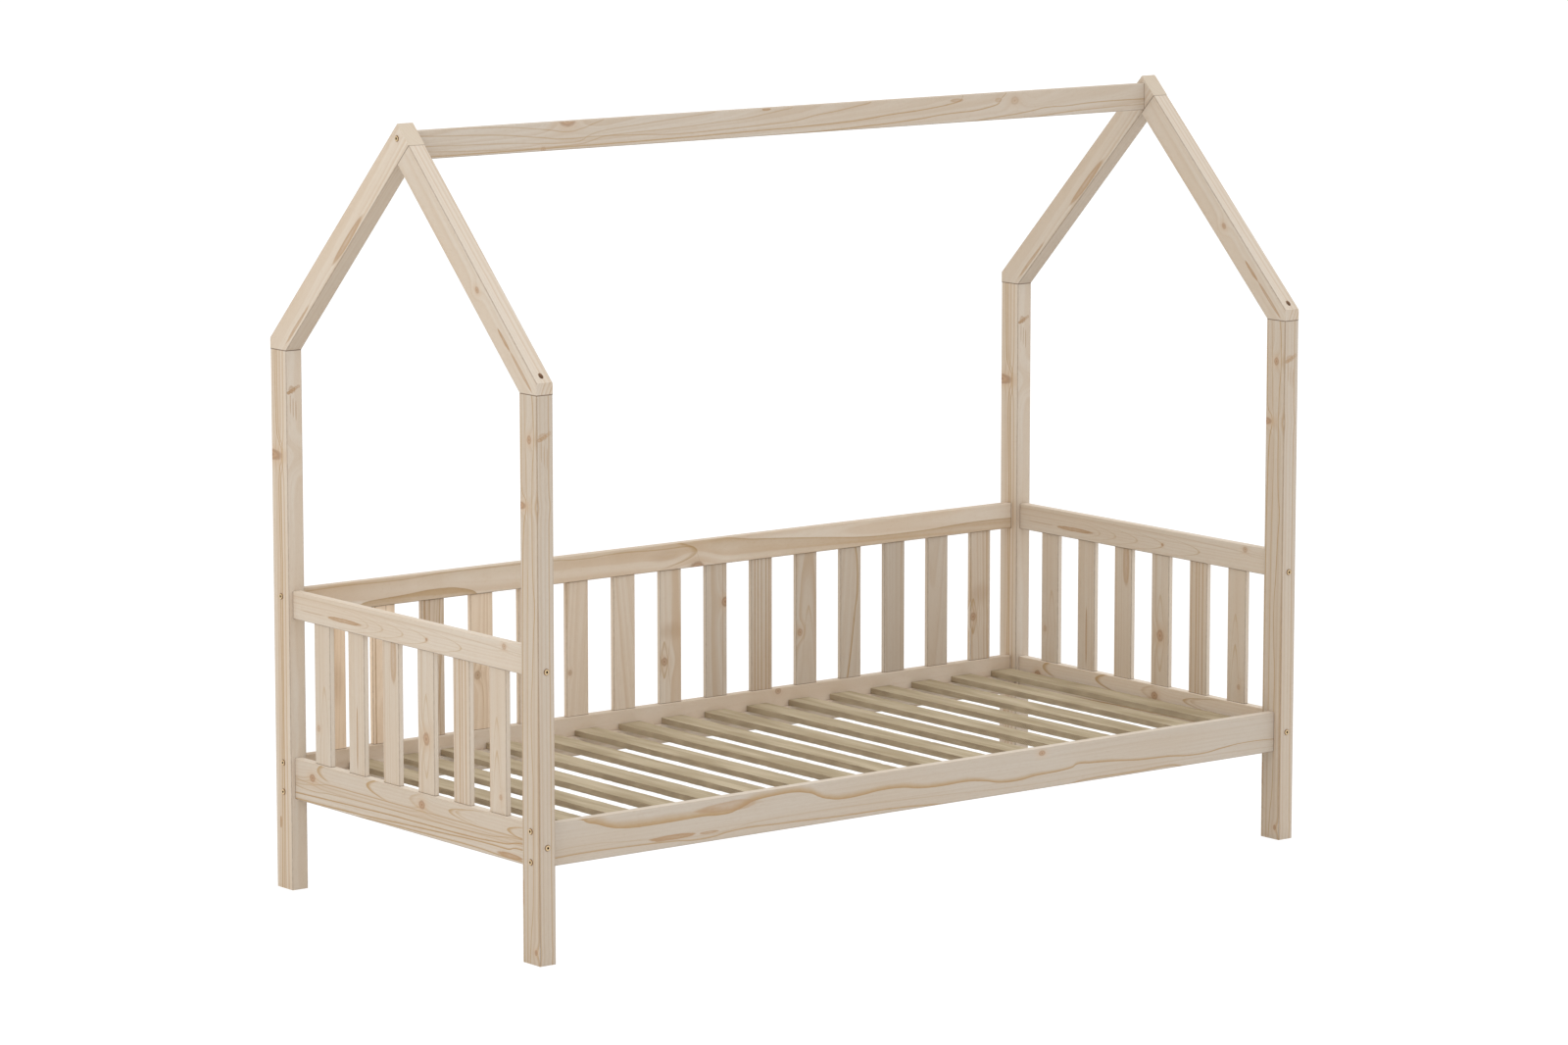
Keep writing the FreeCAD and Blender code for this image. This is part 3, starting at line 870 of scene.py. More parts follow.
PALER_POST = {"post_front_left": -0.08, "post_front_right": -0.04,
              "post_back_left": 0.06, "post_back_right": 0.06}
for name, paler in PALER_POST.items():
    timber = replace(front_post if "front" in name else back_post, paler=paler)
    heads = screws_in(name, proud_screws, HEAD_SLACK)
    dress(name, planed_pine(boards[name], timber, POST_JOINT, heads=heads))
print("posts dressed, with heads on the last:", len(heads))

# %% [markdown]
# The rafters are the same timber, cut at 45 degrees. The back one runs through at the apex, and
# the front one butts against it. So a front rafter has one dark joint line more, and its distance
# along the rafter is measured from the rafter's middle.

# %% Rafters
APEX_JOINT = 0.3165             # from a front rafter's middle up to the back rafter

front_rafter = Timber(
    Log(12.0, 0.015, 0.070, ring=0.0080, strength=0.75, lean=0.02), side_light=0.55,
    knots=[Knot(-0.050, -0.005, 0.006, depth=0.7)],
    streaks=[Streak(-0.182, -0.0045, 0.034, 0.0045, depth=1.0),
             Streak(-0.265, -0.005, 0.060, 0.0045, depth=0.8, fray=0.3)])
back_rafter = Timber(
    Log(17.0, 0.020, 0.060, ring=0.0075, strength=0.75, lean=-0.03), side_light=-0.45,
    streaks=[Streak(0.060, -0.019, 0.088, 0.0088, depth=0.8, fray=0.3),
             Streak(-0.215, -0.020, 0.070, 0.005, depth=0.7)])

PALER_RAFTER = {"rafter_front_left": 0.02, "rafter_front_right": 0.02,
                "rafter_back_left": 0.09, "rafter_back_right": 0.02}
for name, paler in PALER_RAFTER.items():
    board = boards[name]
    joints, side, timber = POST_JOINT, -board.across, replace(back_rafter, paler=paler)
    if "front" in name:
        side, timber = Z_AXIS, replace(front_rafter, paler=paler)
        joints = joints + [(board.along, board.middle.dot(board.along) + APEX_JOINT)]
    dress(name, planed_pine(board, timber, joints, holes=screws_in(name, sunk_screws),
                            heads=screws_in(name, proud_screws, HEAD_SLACK), painted_side=side))
print("rafters dressed")

# %% [markdown]
# ## Long rails and the ridge board
#
# The front rail has a bold ring that wanders along its whole length, and the ridge board has rings
# that climb from its lower edge to its upper one. No log of round rings gives just these lines, so
# they are curves through places. A line that should end sooner runs out over the board's edge, to
# a level beyond it. On the upper back rail, one ring is drawn twice: once wide and soft, for the
# warm wood under it, and once thin.

# %% Long rails and the ridge board
RAIL_ENDS = [(X_AXIS, -1.0), (X_AXIS, 1.0)]     # where the posts begin
UPPER_RAIL_RING = [
    (-1.0, 0.049), (0.09, 0.045), (0.125, 0.033), (0.16, 0.0284), (0.20, 0.0229), (0.233, 0.0185),
    (0.265, 0.0164), (0.30, 0.0136), (0.333, 0.0110), (0.375, 0.0076), (0.42, 0.0038),
    (0.466, -0.0005), (0.512, -0.0049), (0.557, -0.0082), (0.60, -0.0098), (0.74, -0.0098),
    (0.83, -0.0060), (0.92, -0.0044), (1.0, -0.0060)]

long_timbers = {
    "front_rail": Timber(
        Log(23.0, -0.150, 0.0, ring=0.0085, strength=0.12, faint=0.06, wander=0.003),
        knots=[Knot(0.317, 0.0335, 0.0055, stretch=1.6, depth=0.8)],
        streaks=[Streak(-0.685, -0.0236, 0.068, 0.0062, depth=1.0, fray=0.8),
                 Streak(-0.592, -0.0250, 0.030, 0.0035, depth=0.8, fray=1.2),
                 Streak(-0.540, 0.0235, 0.088, 0.0125, depth=0.60, fray=0.7)],
        lines=[RingLine([
            (-1, 0.049), (-0.93, 0.045), (-0.902, 0.0336), (-0.882, 0.0291), (-0.85, 0.0186),
            (-0.818, 0.0123), (-0.782, 0.0095), (-0.709, 0.0091), (-0.645, 0.01), (-0.609, 0.0105),
            (-0.557, 0.008), (-0.518, 0.0132), (-0.495, 0.02), (-0.47, 0.0275), (-0.418, 0.0314),
            (-0.386, 0.0323), (-0.335, 0.027), (-0.299, 0.0136), (-0.276, 0.0068),
            (-0.228, 0.0012), (-0.18, 0.0032), (-0.13, 0.0068), (-0.099, 0.0068),
            (-0.026, -0.0014), (0.026, -0.0045), (0.101, -0.0036), (0.156, -0.0091),
            (0.21, -0.0182), (0.242, -0.0191), (0.301, -0.0145), (0.357, -0.0132),
            (0.408, -0.0085), (0.419, -0.003), (0.457, -0.0055), (0.521, -0.0091),
            (0.594, -0.0155), (0.685, -0.0186), (0.757, -0.0241), (0.785, -0.0241),
            (0.844, -0.0186), (0.921, -0.0141), (1, -0.0164)], fade=(0.036, 0.002), depth=0.90),
               RingLine([
                   (-1, -0.03), (-0.909, -0.0277), (-0.773, -0.03), (-0.682, -0.0332),
                   (-0.609, -0.0377), (-0.541, -0.0314), (-0.5, -0.0291), (-0.409, -0.0314),
                   (-0.335, -0.033), (-0.244, -0.0359), (-0.13, -0.0368), (0.002, -0.0423),
                   (0.06, -0.047), (0.38, -0.047), (0.44, -0.0414), (0.6, -0.041), (0.69, -0.0395),
                   (0.74, -0.047), (1, -0.049)], fade=0.0070, depth=0.75),
               RingLine([
                   (-1, -0.015), (-0.9, -0.0118), (-0.82, -0.0164), (-0.727, -0.0232),
                   (-0.6, -0.03), (-0.455, -0.0186), (-0.33, -0.0164), (0, -0.024), (0.3, -0.033),
                   (0.6, -0.03), (1, -0.033)], fade=0.0040, depth=0.22)],
        paler=-0.09, side_light=0.4),
    "back_rail_lower": Timber(
        Log(29.0, 0.030, 0.055, ring=0.0080, strength=0.60, dive=0.01),
        knots=[Knot(0.304, 0.038, 0.007, depth=0.7)], paler=0.12, warm=0.15, side_light=-0.3),
    "back_rail_upper": Timber(
        Log(31.0, 0.010, 0.060, ring=0.0085, strength=0.35, dive=-0.01),
        knots=[Knot(0.0725, -0.031, 0.012, stretch=1.5, depth=0.9)],
        streaks=[Streak(-0.022, 0.003, 0.060, 0.022, depth=0.40, fray=0.9, edge=1.0)],
        arches=[Arch(0.072, 0.0065, 0.0110, reach=0.12, depth=0.6)],
        lines=[RingLine([
            (-1, -0.045), (-0.87, -0.035), (-0.85, -0.026), (-0.818, -0.016), (-0.773, -0.0143),
            (-0.709, -0.0107), (-0.655, -0.0076), (-0.614, -0.0081), (-0.577, -0.0128),
            (-0.55, -0.0196), (-0.536, -0.0263), (-0.51, -0.04), (1, -0.045)
        ], fade=0.06, way=-1, depth=0.75),
               RingLine([
                   (-1, 0.021), (-0.886, 0.0235), (-0.75, 0.0215), (-0.614, 0.0255), (-0.5, 0.025),
                   (-0.335, 0.023), (-0.244, 0.019), (-0.153, 0.022), (-0.017, 0.0185),
                   (0.04, 0.019), (0.072, 0.0065), (0.1, -0.035), (1, -0.045)
               ], fade=0.0050, depth=0.5),
               RingLine(UPPER_RAIL_RING, fade=0.09, way=-1, depth=0.50),
               RingLine(UPPER_RAIL_RING, fade=0.0050, way=-1, depth=0.35)],
        paler=0.20, side_light=-0.3),
    "ridge_beam": Timber(
        Log(37.0, 0.030, 0.050, ring=0.0070, strength=0.25, dive=0.03),
        knots=[Knot(-0.614, 0.032, 0.0125, stretch=1.6, depth=0.8),
               Knot(0.616, 0.0105, 0.009, depth=0.35), Knot(-0.677, -0.026, 0.005, depth=0.5)],
        streaks=[Streak(-0.085, 0.027, 0.014, 0.0035, depth=1.0),
                 Streak(0.448, 0.0195, 0.020, 0.0045, depth=0.6, fray=0.5),
                 Streak(0.568, 0.0140, 0.011, 0.0060, depth=0.5, fray=0.7)],
        lines=[RingLine([
            (-1, 0.032), (-0.886, 0.0285), (-0.773, 0.025), (-0.705, 0.0185), (-0.645, 0.011),
            (-0.614, 0.007), (-0.582, 0.011), (-0.545, 0.021), (-0.518, 0.0285), (-0.49, 0.04),
            (1, 0.045)], depth=0.5),
               RingLine([
                   (-1, 0.019), (-0.955, 0.016), (-0.818, 0.011), (-0.682, -0.0015),
                   (-0.614, -0.008), (-0.545, -0.0065), (-0.409, -0.01), (-0.335, -0.013),
                   (-0.199, -0.0105), (-0.108, -0.007), (-0.017, -0.003), (0.051, 0.007),
                   (0.12, 0.0145), (0.165, 0.021), (0.201, 0.026), (0.225, 0.038), (1, 0.045)
               ], fade=0.0045, depth=0.55),
               RingLine([
                   (-1, -0.004), (-0.75, -0.01), (-0.6, -0.016), (-0.56, -0.004), (-0.509, 0.006),
                   (-0.409, 0.0135), (-0.335, 0.0195), (-0.29, 0.023), (-0.226, 0.028),
                   (-0.19, 0.038), (1, 0.045)], depth=0.42),
               RingLine([
                   (-1, -0.014), (-0.614, -0.022), (-0.5, -0.006), (-0.335, -0.0005),
                   (-0.244, 0.0045), (-0.153, 0.0095), (-0.085, 0.017), (-0.04, 0.023),
                   (-0.017, 0.026), (0.01, 0.038), (1, 0.045)], depth=0.45),
               RingLine([
                   (-1, -0.026), (-0.5, -0.024), (-0.085, -0.018), (0.029, -0.0155),
                   (0.12, -0.013), (0.188, -0.009), (0.256, -0.003), (0.335, 0.002),
                   (0.375, 0.0055), (0.421, 0.0105), (0.453, 0.0155), (0.464, 0.0205),
                   (0.47, 0.034), (1, 0.045)], fade=0.0055, depth=0.8),
               RingLine([
                   (-1, -0.035), (0, -0.03), (0.2, -0.024), (0.335, -0.017), (0.421, -0.0095),
                   (0.489, -0.007), (0.535, -0.002), (0.566, 0.004), (0.575, 0.013),
                   (0.578, 0.018), (0.591, 0.027), (0.61, 0.038), (1, 0.045)
               ], fade=0.0055, depth=0.8),
               RingLine([
                   (-1, -0.045), (0.45, -0.032), (0.557, -0.0245), (0.625, -0.0195),
                   (0.671, -0.0145), (0.716, -0.0095), (0.762, -0.0095), (0.83, -0.006),
                   (0.921, -0.005), (1, -0.0055)], depth=0.75),
               RingLine([
                   (-1, -0.045), (0.6, -0.035), (0.694, -0.028), (0.785, -0.022), (0.875, -0.0195),
                   (1, -0.017)], depth=0.5)],
        paler=-0.03),
}
for name, timber in long_timbers.items():
    dress(name, planed_pine(boards[name], timber, RAIL_ENDS, all_edges=False))
print("long rails dressed; ridge middle", [round(v, 4) for v in boards["ridge_beam"].middle])

# %% [markdown]
# ## End rails
#
# A lower and an upper rail close each end panel. The lower one is cut close to the outside of the
# tree, so its face grazes the rings and shows one arch behind the other, over a few straight
# lines. The upper one has a row of narrow arches that point the other way.

# %% End rails
END_RAIL_ENDS = [(Y_AXIS, -0.430), (Y_AXIS, 0.430)]

lower_end_rail = Timber(
    Log(41.0, 0.085, 0.012, ring=0.0085, strength=0.20, bold=(0.0820, 0.0885, 0.0960),
        boldness=0.6, wander=0.012), side_light=0.45,
    knots=[Knot(0.362, 0.012, 0.008), Knot(-0.053, 0.0207, 0.0085)],
    streaks=[Streak(-0.372, -0.0347, 0.052, 0.0065, depth=1.0, fray=0.8)],
    arches=[Arch(0.344, 0.0320, 0.0100, reach=0.055, depth=0.75),
            Arch(0.155, 0.0300, 0.0070, reach=0.10, depth=0.85),
            Arch(-0.007, 0.0270, 0.0068, reach=0.07, depth=0.35),
            Arch(-0.151, 0.0240, 0.0028, reach=0.16, depth=0.7),
            Arch(-0.176, 0.0260, 0.0026, reach=0.12, depth=0.4),
            Arch(-0.362, 0.0190, 0.0032, reach=0.08, depth=0.8)],
    lines=[RingLine([
        (-0.43, -0.016), (-0.39, -0.0165), (-0.365, -0.0225), (-0.309, -0.0225), (-0.254, -0.023),
        (-0.143, -0.027), (0.024, -0.033), (0.162, -0.038), (0.43, -0.043)
    ], fade=0.0062, depth=1.0),
           RingLine([
               (-0.43, -0.003), (-0.4, -0.0045), (-0.36, -0.012), (-0.309, -0.015),
               (-0.254, -0.0175), (-0.143, -0.0195), (0.079, -0.0215), (0.19, -0.024),
               (0.43, -0.03)], fade=0.0062, depth=1.0),
           RingLine([
               (-0.43, -0.04), (-0.32, -0.0395), (-0.254, -0.037), (-0.143, -0.038),
               (0.024, -0.0405), (0.162, -0.043), (0.25, -0.049), (0.43, -0.049)
           ], fade=0.0050, depth=0.9),
           RingLine([
               (-0.43, 0.006), (-0.36, 0.002), (-0.309, -0.004), (-0.143, -0.008), (0.1, -0.009),
               (0.3, -0.013), (0.362, -0.017), (0.43, -0.012)], fade=0.0035, depth=0.6),
           RingLine([
               (-0.43, 0.0085), (-0.143, 0.0065), (0.19, 0.006), (0.3, 0.0055), (0.362, -0.001),
               (0.43, 0.006)], fade=0.0030, depth=0.55)])
upper_end_rail = Timber(
    Log(43.0, 0.080, 0.020, ring=0.0080, strength=0.35), side_light=0.4,
    knots=[Knot(-0.076, -0.005, 0.003), Knot(-0.356, 0.019, 0.006, depth=0.6)],
    streaks=[Streak(0.234, -0.0087, 0.076, 0.0052, depth=0.95, fray=1.0),
             Streak(0.350, -0.0077, 0.055, 0.0014, depth=0.6)],
    arches=[Arch(tip, -0.0065, 0.0040, way=-1, reach=0.26, depth=depth, soft=0.009)
            for tip, depth in ((0.140, 0.3), (0.085, 0.4), (0.010, 0.4), (-0.079, 0.5),
                               (-0.204, 0.5))],
    lines=[RingLine([
        (-0.43, 0.01), (-0.36, 0.012), (-0.2, 0.017), (0, 0.019), (0.43, 0.02)
    ], fade=0.003, depth=0.3)])

PALER_END_RAIL = {"end_rail_lower_left": -0.03, "end_rail_lower_right": 0.14,
                  "end_rail_upper_left": 0.04, "end_rail_upper_right": 0.03}
for name, paler in PALER_END_RAIL.items():
    timber = replace(lower_end_rail if "lower" in name else upper_end_rail, paler=paler)
    dress(name, planed_pine(boards[name], timber, END_RAIL_ENDS, all_edges=False))
print("end rails dressed:", len(PALER_END_RAIL))

# %% [markdown]
# ## Spindles
#
# The spindles are thin laths whose wide faces look outwards. A random draw gives each its own
# place in the log, and some have a knot, a brown smudge or strong lines, which are listed by the
# spindle's number. The draw has a fixed seed, so it gives the same bed each time.

# %% Back spindles
SPINDLE_JOINTS = [(Z_AXIS, 0.290), (Z_AXIS, 0.595)]     # where they enter the rails
SPINDLES = 15
dice = random.Random(7)


def line_down(sideways, half_height=0.0018, depth=0.8, fray=0.2):
    """A dark straight line from end to end of a spindle."""
    return Streak(0.0, sideways, 0.60, half_height, depth=depth, fray=fray)


spindle_marks = {
    1: dict(streaks=[Streak(-0.010, 0.006, 0.075, 0.0240, depth=0.50, fray=0.9, edge=1.0)]),
    2: dict(streaks=[line_down(-0.022, depth=0.9), line_down(0.006, depth=0.5)]),
    3: dict(streaks=[line_down(-0.022, 0.0030, depth=1.0), line_down(-0.009, depth=0.7),
                     line_down(0.017, depth=0.6)],
            arches=[Arch(0.05, 0.004, 0.0022, reach=0.30, depth=0.4)]),
    4: dict(knots=[Knot(-0.0295, -0.012, 0.008, depth=0.6)],
            arches=[Arch(0.02, -0.012, 0.0022, reach=0.2, depth=0.4)]),
    5: dict(arches=[Arch(0.12, -0.004, 0.0030, reach=0.35, depth=0.4)]),
    6: dict(knots=[Knot(-0.0525, -0.021, 0.005, depth=0.6)]),
    8: dict(knots=[Knot(-0.0565, -0.018, 0.008, depth=0.8)],
            streaks=[Streak(0.0125, 0.000, 0.030, 0.0450, depth=0.55, fray=0.9, edge=1.0)],
            arches=[Arch(-0.010, -0.018, 0.0025, reach=0.16, depth=0.6),
                    Arch(-0.095, -0.018, 0.0030, way=-1, reach=0.12, depth=0.6)]),
    9: dict(knots=[Knot(0.0635, 0.025, 0.009)], streaks=[line_down(0.018, depth=0.5)]),
    10: dict(streaks=[line_down(-0.020), line_down(-0.011), line_down(-0.001), line_down(0.012),
                      line_down(0.021, depth=0.6)]),
    11: dict(knots=[Knot(-0.0305, -0.019, 0.007, depth=0.7)],
             arches=[Arch(0.03, 0.006, 0.0025, reach=0.25, depth=0.4)]),
    12: dict(lines=[RingLine([
        (-0.153, -0.009), (-0.066, 0.005), (0.009, 0.014), (0.062, 0.021), (0.153, 0.014)
    ], fade=0.010, way=-1, depth=0.9)]),
    15: dict(knots=[Knot(-0.0485, -0.022, 0.008, depth=0.8)],
             streaks=[Streak(0.0050, 0.000, 0.036, 0.0420, depth=0.50, fray=0.9, edge=1.0)],
             arches=[Arch(-0.005, -0.022, 0.0025, reach=0.16, depth=0.6),
                     Arch(-0.090, -0.022, 0.0030, way=-1, reach=0.12, depth=0.6)]),
}
# The spindles near the bed's left corner are painted paler and warmer, as warm light bounced into
# that corner.
PALER_SPINDLE = {1: 0.35, 2: 0.36, 4: 0.27, 5: 0.16, 6: 0.14, 7: 0.15, 8: 0.13, 13: -0.10,
                 15: 0.08}
WARM_BOUNCE_SPINDLE = {1: 0.6, 2: 0.5, 3: 0.3, 4: 0.35, 5: 0.2, 6: 0.2, 7: 0.1}
for number in range(1, SPINDLES + 1):
    name = "back_spindle_%02d" % number
    side = dice.choice((-1, 1))
    log = Log(50 + number * 2.7, side * dice.uniform(0.0, 0.11), dice.uniform(0.035, 0.10),
              ring=dice.uniform(0.007, 0.0095), strength=dice.uniform(0.45, 0.85),
              lean=dice.uniform(-0.04, 0.04), dive=dice.uniform(-0.05, 0.05))
    timber = Timber(log, paler=PALER_SPINDLE.get(number, dice.uniform(-0.04, 0.05)),
                    warm=WARM_BOUNCE_SPINDLE.get(number, 0.0), **spindle_marks.get(number, {}))
    dress(name, planed_pine(boards[name], timber, SPINDLE_JOINTS))
print("back spindles dressed:", SPINDLES)

# %% [markdown]
# The six spindles at an end are one node of the model, so they share one material. It divides the
# distance across the panel by the spindles' pitch. The whole part is the spindle's number, which
# picks a place in the log for it, and the rest is the place within the spindle.

# %% End spindles
END_SPINDLE_PITCH = 0.13


def spindle_cells(finish, where):
    """Gives each spindle of an end panel its own place in the log."""
    along, across, through = where
    cell = across / END_SPINDLE_PITCH
    number = cell.whole()
    inside = (cell - number - 0.5) * END_SPINDLE_PITCH
    shift = (finish.dice(number + 4.3) - 0.5) * 0.12
    return along + number * 3.1, inside + shift, through + finish.dice(number + 9.1) * 0.05


end_spindles = Timber(
    Log(61.0, 0.0, 0.070, ring=0.0085, strength=0.75), side_light=0.5,
    knots=[Knot(-0.0745, 0.341, 0.006, depth=0.5), Knot(-0.0355, -0.066, 0.0105, depth=0.85),
           Knot(-0.1165, -0.335, 0.005, depth=0.6)],
    streaks=[Streak(-0.0735, 0.193, 0.085, 0.0035, depth=0.9, fray=0.5),
             Streak(0.120, 0.054, 0.064, 0.0125, depth=0.65, fray=0.35)]
    + [line_down(across) for across in (-0.211, -0.198, -0.190, -0.173)],
    arches=[Arch(0.060, -0.066, 0.0020, reach=0.25, depth=0.45),
            Arch(-0.120, -0.066, 0.0025, way=-1, reach=0.15, depth=0.45),
            Arch(-0.020, -0.322, 0.0020, reach=0.20, depth=0.5),
            Arch(0.050, -0.322, 0.0020, reach=0.25, depth=0.4),
            Arch(0.020, 0.318, 0.0022, reach=0.25, depth=0.4)])
for name in ("end_spindles_left", "end_spindles_right"):
    dress(name, planed_pine(boards[name], end_spindles, SPINDLE_JOINTS, cells=spindle_cells,
                            painted_side=-Y_AXIS))
print("end spindles dressed")

# %% [markdown]
# ## Rough slats
#
# The slats and the ledgers that carry them come straight from the saw. Their edges are ragged, so
# a plain box won't do: each slat is a mesh of many short lengths, whose corners are moved a little
# at random, inwards only. On the narrow sides the saw left slanting scratches, and the wood has
# greyed to a dull olive brown. The tops have long furrows.

# %% Meshes made of rings
TUBE_ENDS = 2                   # faces that close a tube, and come last


def new_piece(name, verts, faces, *materials):
    """A mesh object in the scene."""
    mesh = bpy.data.meshes.new(name)
    mesh.from_pydata(verts, [], faces)
    for material in materials:
        mesh.materials.append(material)
    piece = bpy.data.objects.new(name, mesh)
    bpy.context.scene.collection.objects.link(piece)
    return piece


def tube_faces(start, rings, around):
    """The faces of a tube of rings of points, which is closed at both ends."""
    faces = []
    for ring in range(rings - 1):
        for step in range(around):
            one = start + ring * around + step
            two = start + ring * around + (step + 1) % around
            faces.append((one, two, two + around, one + around))
    last = start + (rings - 1) * around
    faces.append(tuple(range(start, start + around)))
    faces.append(tuple(reversed(range(last, last + around))))
    return faces


def turn_outwards(mesh, sharp=None):
    """Turns all faces outwards. With an angle, edges sharper than it stay hard in smooth shading."""
    tidy = bmesh.new()
    tidy.from_mesh(mesh)
    bmesh.ops.recalc_face_normals(tidy, faces=tidy.faces)
    if sharp:
        for face in tidy.faces:
            face.smooth = True
        for edge in tidy.edges:
            if len(edge.link_faces) == 2 and edge.calc_face_angle() > sharp:
                edge.smooth = False
    tidy.to_mesh(mesh)
    tidy.free()


print("a tube of 3 rings of 4 points has", len(tube_faces(0, 3, 4)), "faces")

# %% Slat mesh
SLATS = 17
SLAT_RINGS = 96
RAGGED = 0.0011                 # how far a slat's edge is broken inwards
DENT = 0.0004                   # and how far its faces are dented
NICK_CHANCE = 0.06
LATH_CORNERS = ((-1, -1), (1, -1), (1, 1), (-1, 1))


def walk(dice, most, smooth):
    """A random line along a slat that wanders between 0 and most, with a few sharp nicks."""
    level = dice.uniform(0, most)
    line = []
    for _ in range(SLAT_RINGS):
        level += (dice.uniform(0, most) - level) * smooth
        nick = most * dice.uniform(0.5, 1.6) if dice.random() < NICK_CHANCE else 0
        line.append(level + nick)
    return line


def ragged_lath(name, seed):
    """A lath in the box of a CAD node. Each ring has two points at each corner, which bevel it."""
    board = boards[name]
    dice = random.Random(seed)
    length, across, through = (size / 2 for size in board.size)
    breaks = [(walk(dice, RAGGED * 1.5, 0.4), walk(dice, RAGGED, 0.4)) for _ in LATH_CORNERS]
    dents = [walk(dice, DENT, 0.3) for _ in LATH_CORNERS]
    verts = []
    for ring in range(SLAT_RINGS):
        along = length * (2 * ring / (SLAT_RINGS - 1) - 1)
        if 0 < ring < SLAT_RINGS - 1:
            along += dice.uniform(-0.3, 0.3) * length / SLAT_RINGS
        for (right, up), cuts, dent in zip(LATH_CORNERS, breaks, dents):
            first = (right * (across - DENT - cuts[0][ring]), up * (through - dent[ring]))
            second = (right * (across - dent[ring]), up * (through - DENT - cuts[1][ring]))
            for out, rise in (first, second) if right * up < 0 else (second, first):
                verts.append(board.middle + board.along * along + board.across * out
                             + board.through * rise)
    piece = new_piece("rough_" + name, verts, tube_faces(0, SLAT_RINGS, 2 * len(LATH_CORNERS)))
    turn_outwards(piece.data)
    return piece


print("a slat is divided every", round(1000 * boards["bed_slat_01"].size[0] / SLAT_RINGS), "mm")

# %% [markdown]
# The sawn material has the same growth rings, but dull, and lies under furrows and scratches. It
# asks which way a face looks: up and down faces get furrows along the slat, and the sides get the
# slanting marks of the saw.

# %% Sawn finish
SAWN_LIGHT = srgb(193, 178, 150)
SAWN_DARK = srgb(163, 146, 116)
SAWN_SIDE = srgb(181, 163, 135)
SAWN_SCRATCH = srgb(112, 94, 69)
SAW_STEP = 0.0052               # from one slanting scratch to the next
SAW_WOBBLE = 0.006
FURROW = (9, 420, 420)          # hills to a metre along, across and through
SAWN_TONE = (5, 40, 40)
SCRATCHED = (22, 60, 60)
WOBBLE = (60, 60, 200)


def sawn_pine(board, seed):
    """The material of one rough slat."""
    finish = Finish("sawn_" + board.name)
    where = place_in_board(finish, board)
    log = Log(seed, math.sin(seed) * 0.05, 0.06, ring=0.008, strength=0.7, dive=0.02)
    brown = autumn_wood(finish, where, distance_from_heart(finish, where, log), log)
    furrow = finish.grain(where, FURROW, seed, 3)
    tone = finish.grain(where, SAWN_TONE, seed + 2, 3)
    wobble = finish.grain(where, WOBBLE, seed + 4)
    patch = finish.grain(where, SCRATCHED, seed + 6)
    side = abs(finish.dot(finish.facing(), board.across)).step(0.5, 0.8)
    slant = (where[0] + where[2] + wobble * SAW_WOBBLE) / SAW_STEP
    part = slant - slant.whole()
    hatch = part.step(0.2, 0.5) * (1 - part.step(0.65, 1.0)) * (patch.step(0.3, 0.7) * 0.6 + 0.3)
    hatch = hatch * side
    colour = finish.mix(tone.step(0.3, 0.7), SAWN_LIGHT, SAWN_DARK)
    colour = finish.mix(side * 0.75, colour, SAWN_SIDE)
    colour = finish.mix(brown * 0.7, colour, SAWN_DARK)
    colour = finish.mix(furrow.step(0.45, 0.8) * 0.4, colour, SAWN_SCRATCH)
    finish.show("Base Color", finish.mix(hatch, colour, SAWN_SCRATCH))
    finish.show("Roughness", furrow * 0.15 + 0.72)
    finish.show("Normal", finish.bump(furrow + hatch * 0.8, 0.0006, 0.7))
    return finish.material


for number in range(1, SLATS + 1):
    name = "bed_slat_%02d" % number
    slat = ragged_lath(name, number)
    slat.data.materials.append(sawn_pine(boards[name], number * 2.3))
    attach(slat, "root")
    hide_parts(name)
for number, name in enumerate(("slat_ledger_front", "slat_ledger_back")):
    ledger = Timber(Log(70.0 + number * 5, 0.03, 0.05, ring=0.007, strength=0.5, dive=0.01))
    dress(name, planed_pine(boards[name], ledger))
print("rough slats made:", SLATS)

# %% [markdown]
# ## Turned pieces
#
# A screw is a stack of rings round one line. Most rings are circles, but the key's socket is a
# stack of hexagons, and on the thread the radius changes with the angle as well as with the depth,
# which winds it round the shank. So one function stacks rings whose radius is a function of the
# angle. All the screws of one kind make one piece, as they are one node of the model.

# %% Rings round a line
AROUND = 36                     # points on a ring: a hexagon's corners fall on them
SHARP_EDGE = math.radians(38)
THREAD_FLANK = 0.28             # half the width of a thread's ridge, as a share of the pitch
THREAD_STEPS = 5                # rings to a turn


def circle(radius):
    return lambda angle: radius


def hexagon(across_flats):
    """The radius at each angle of a hexagon, from its width between two flats."""
    def radius(angle):
        sixth = math.pi / 3
        return across_flats / 2 / math.cos(angle % sixth - sixth / 2)
    return radius


def thread(core, outer, pitch, depth):
    """The radius on a thread at one depth: a ridge that winds round the core."""
    def radius(angle):
        turn = (depth / pitch - angle / (2 * math.pi)) % 1
        return core + (outer - core) * max(0.0, 1 - abs(turn - 0.5) / THREAD_FLANK)
    return radius


def ring_points(fastener, rings, around):
    """The points of rings (depth below the head's top, radius by angle) round a fastener."""
    side = fastener.direction.orthogonal().normalized()
    other = fastener.direction.cross(side)
    points = []
    for depth, radius in rings:
        for step in range(around):
            angle = 2 * math.pi * step / around
            out = side * math.cos(angle) + other * math.sin(angle)
            points.append(fastener.top + fastener.direction * depth + out * radius(angle))
    return points


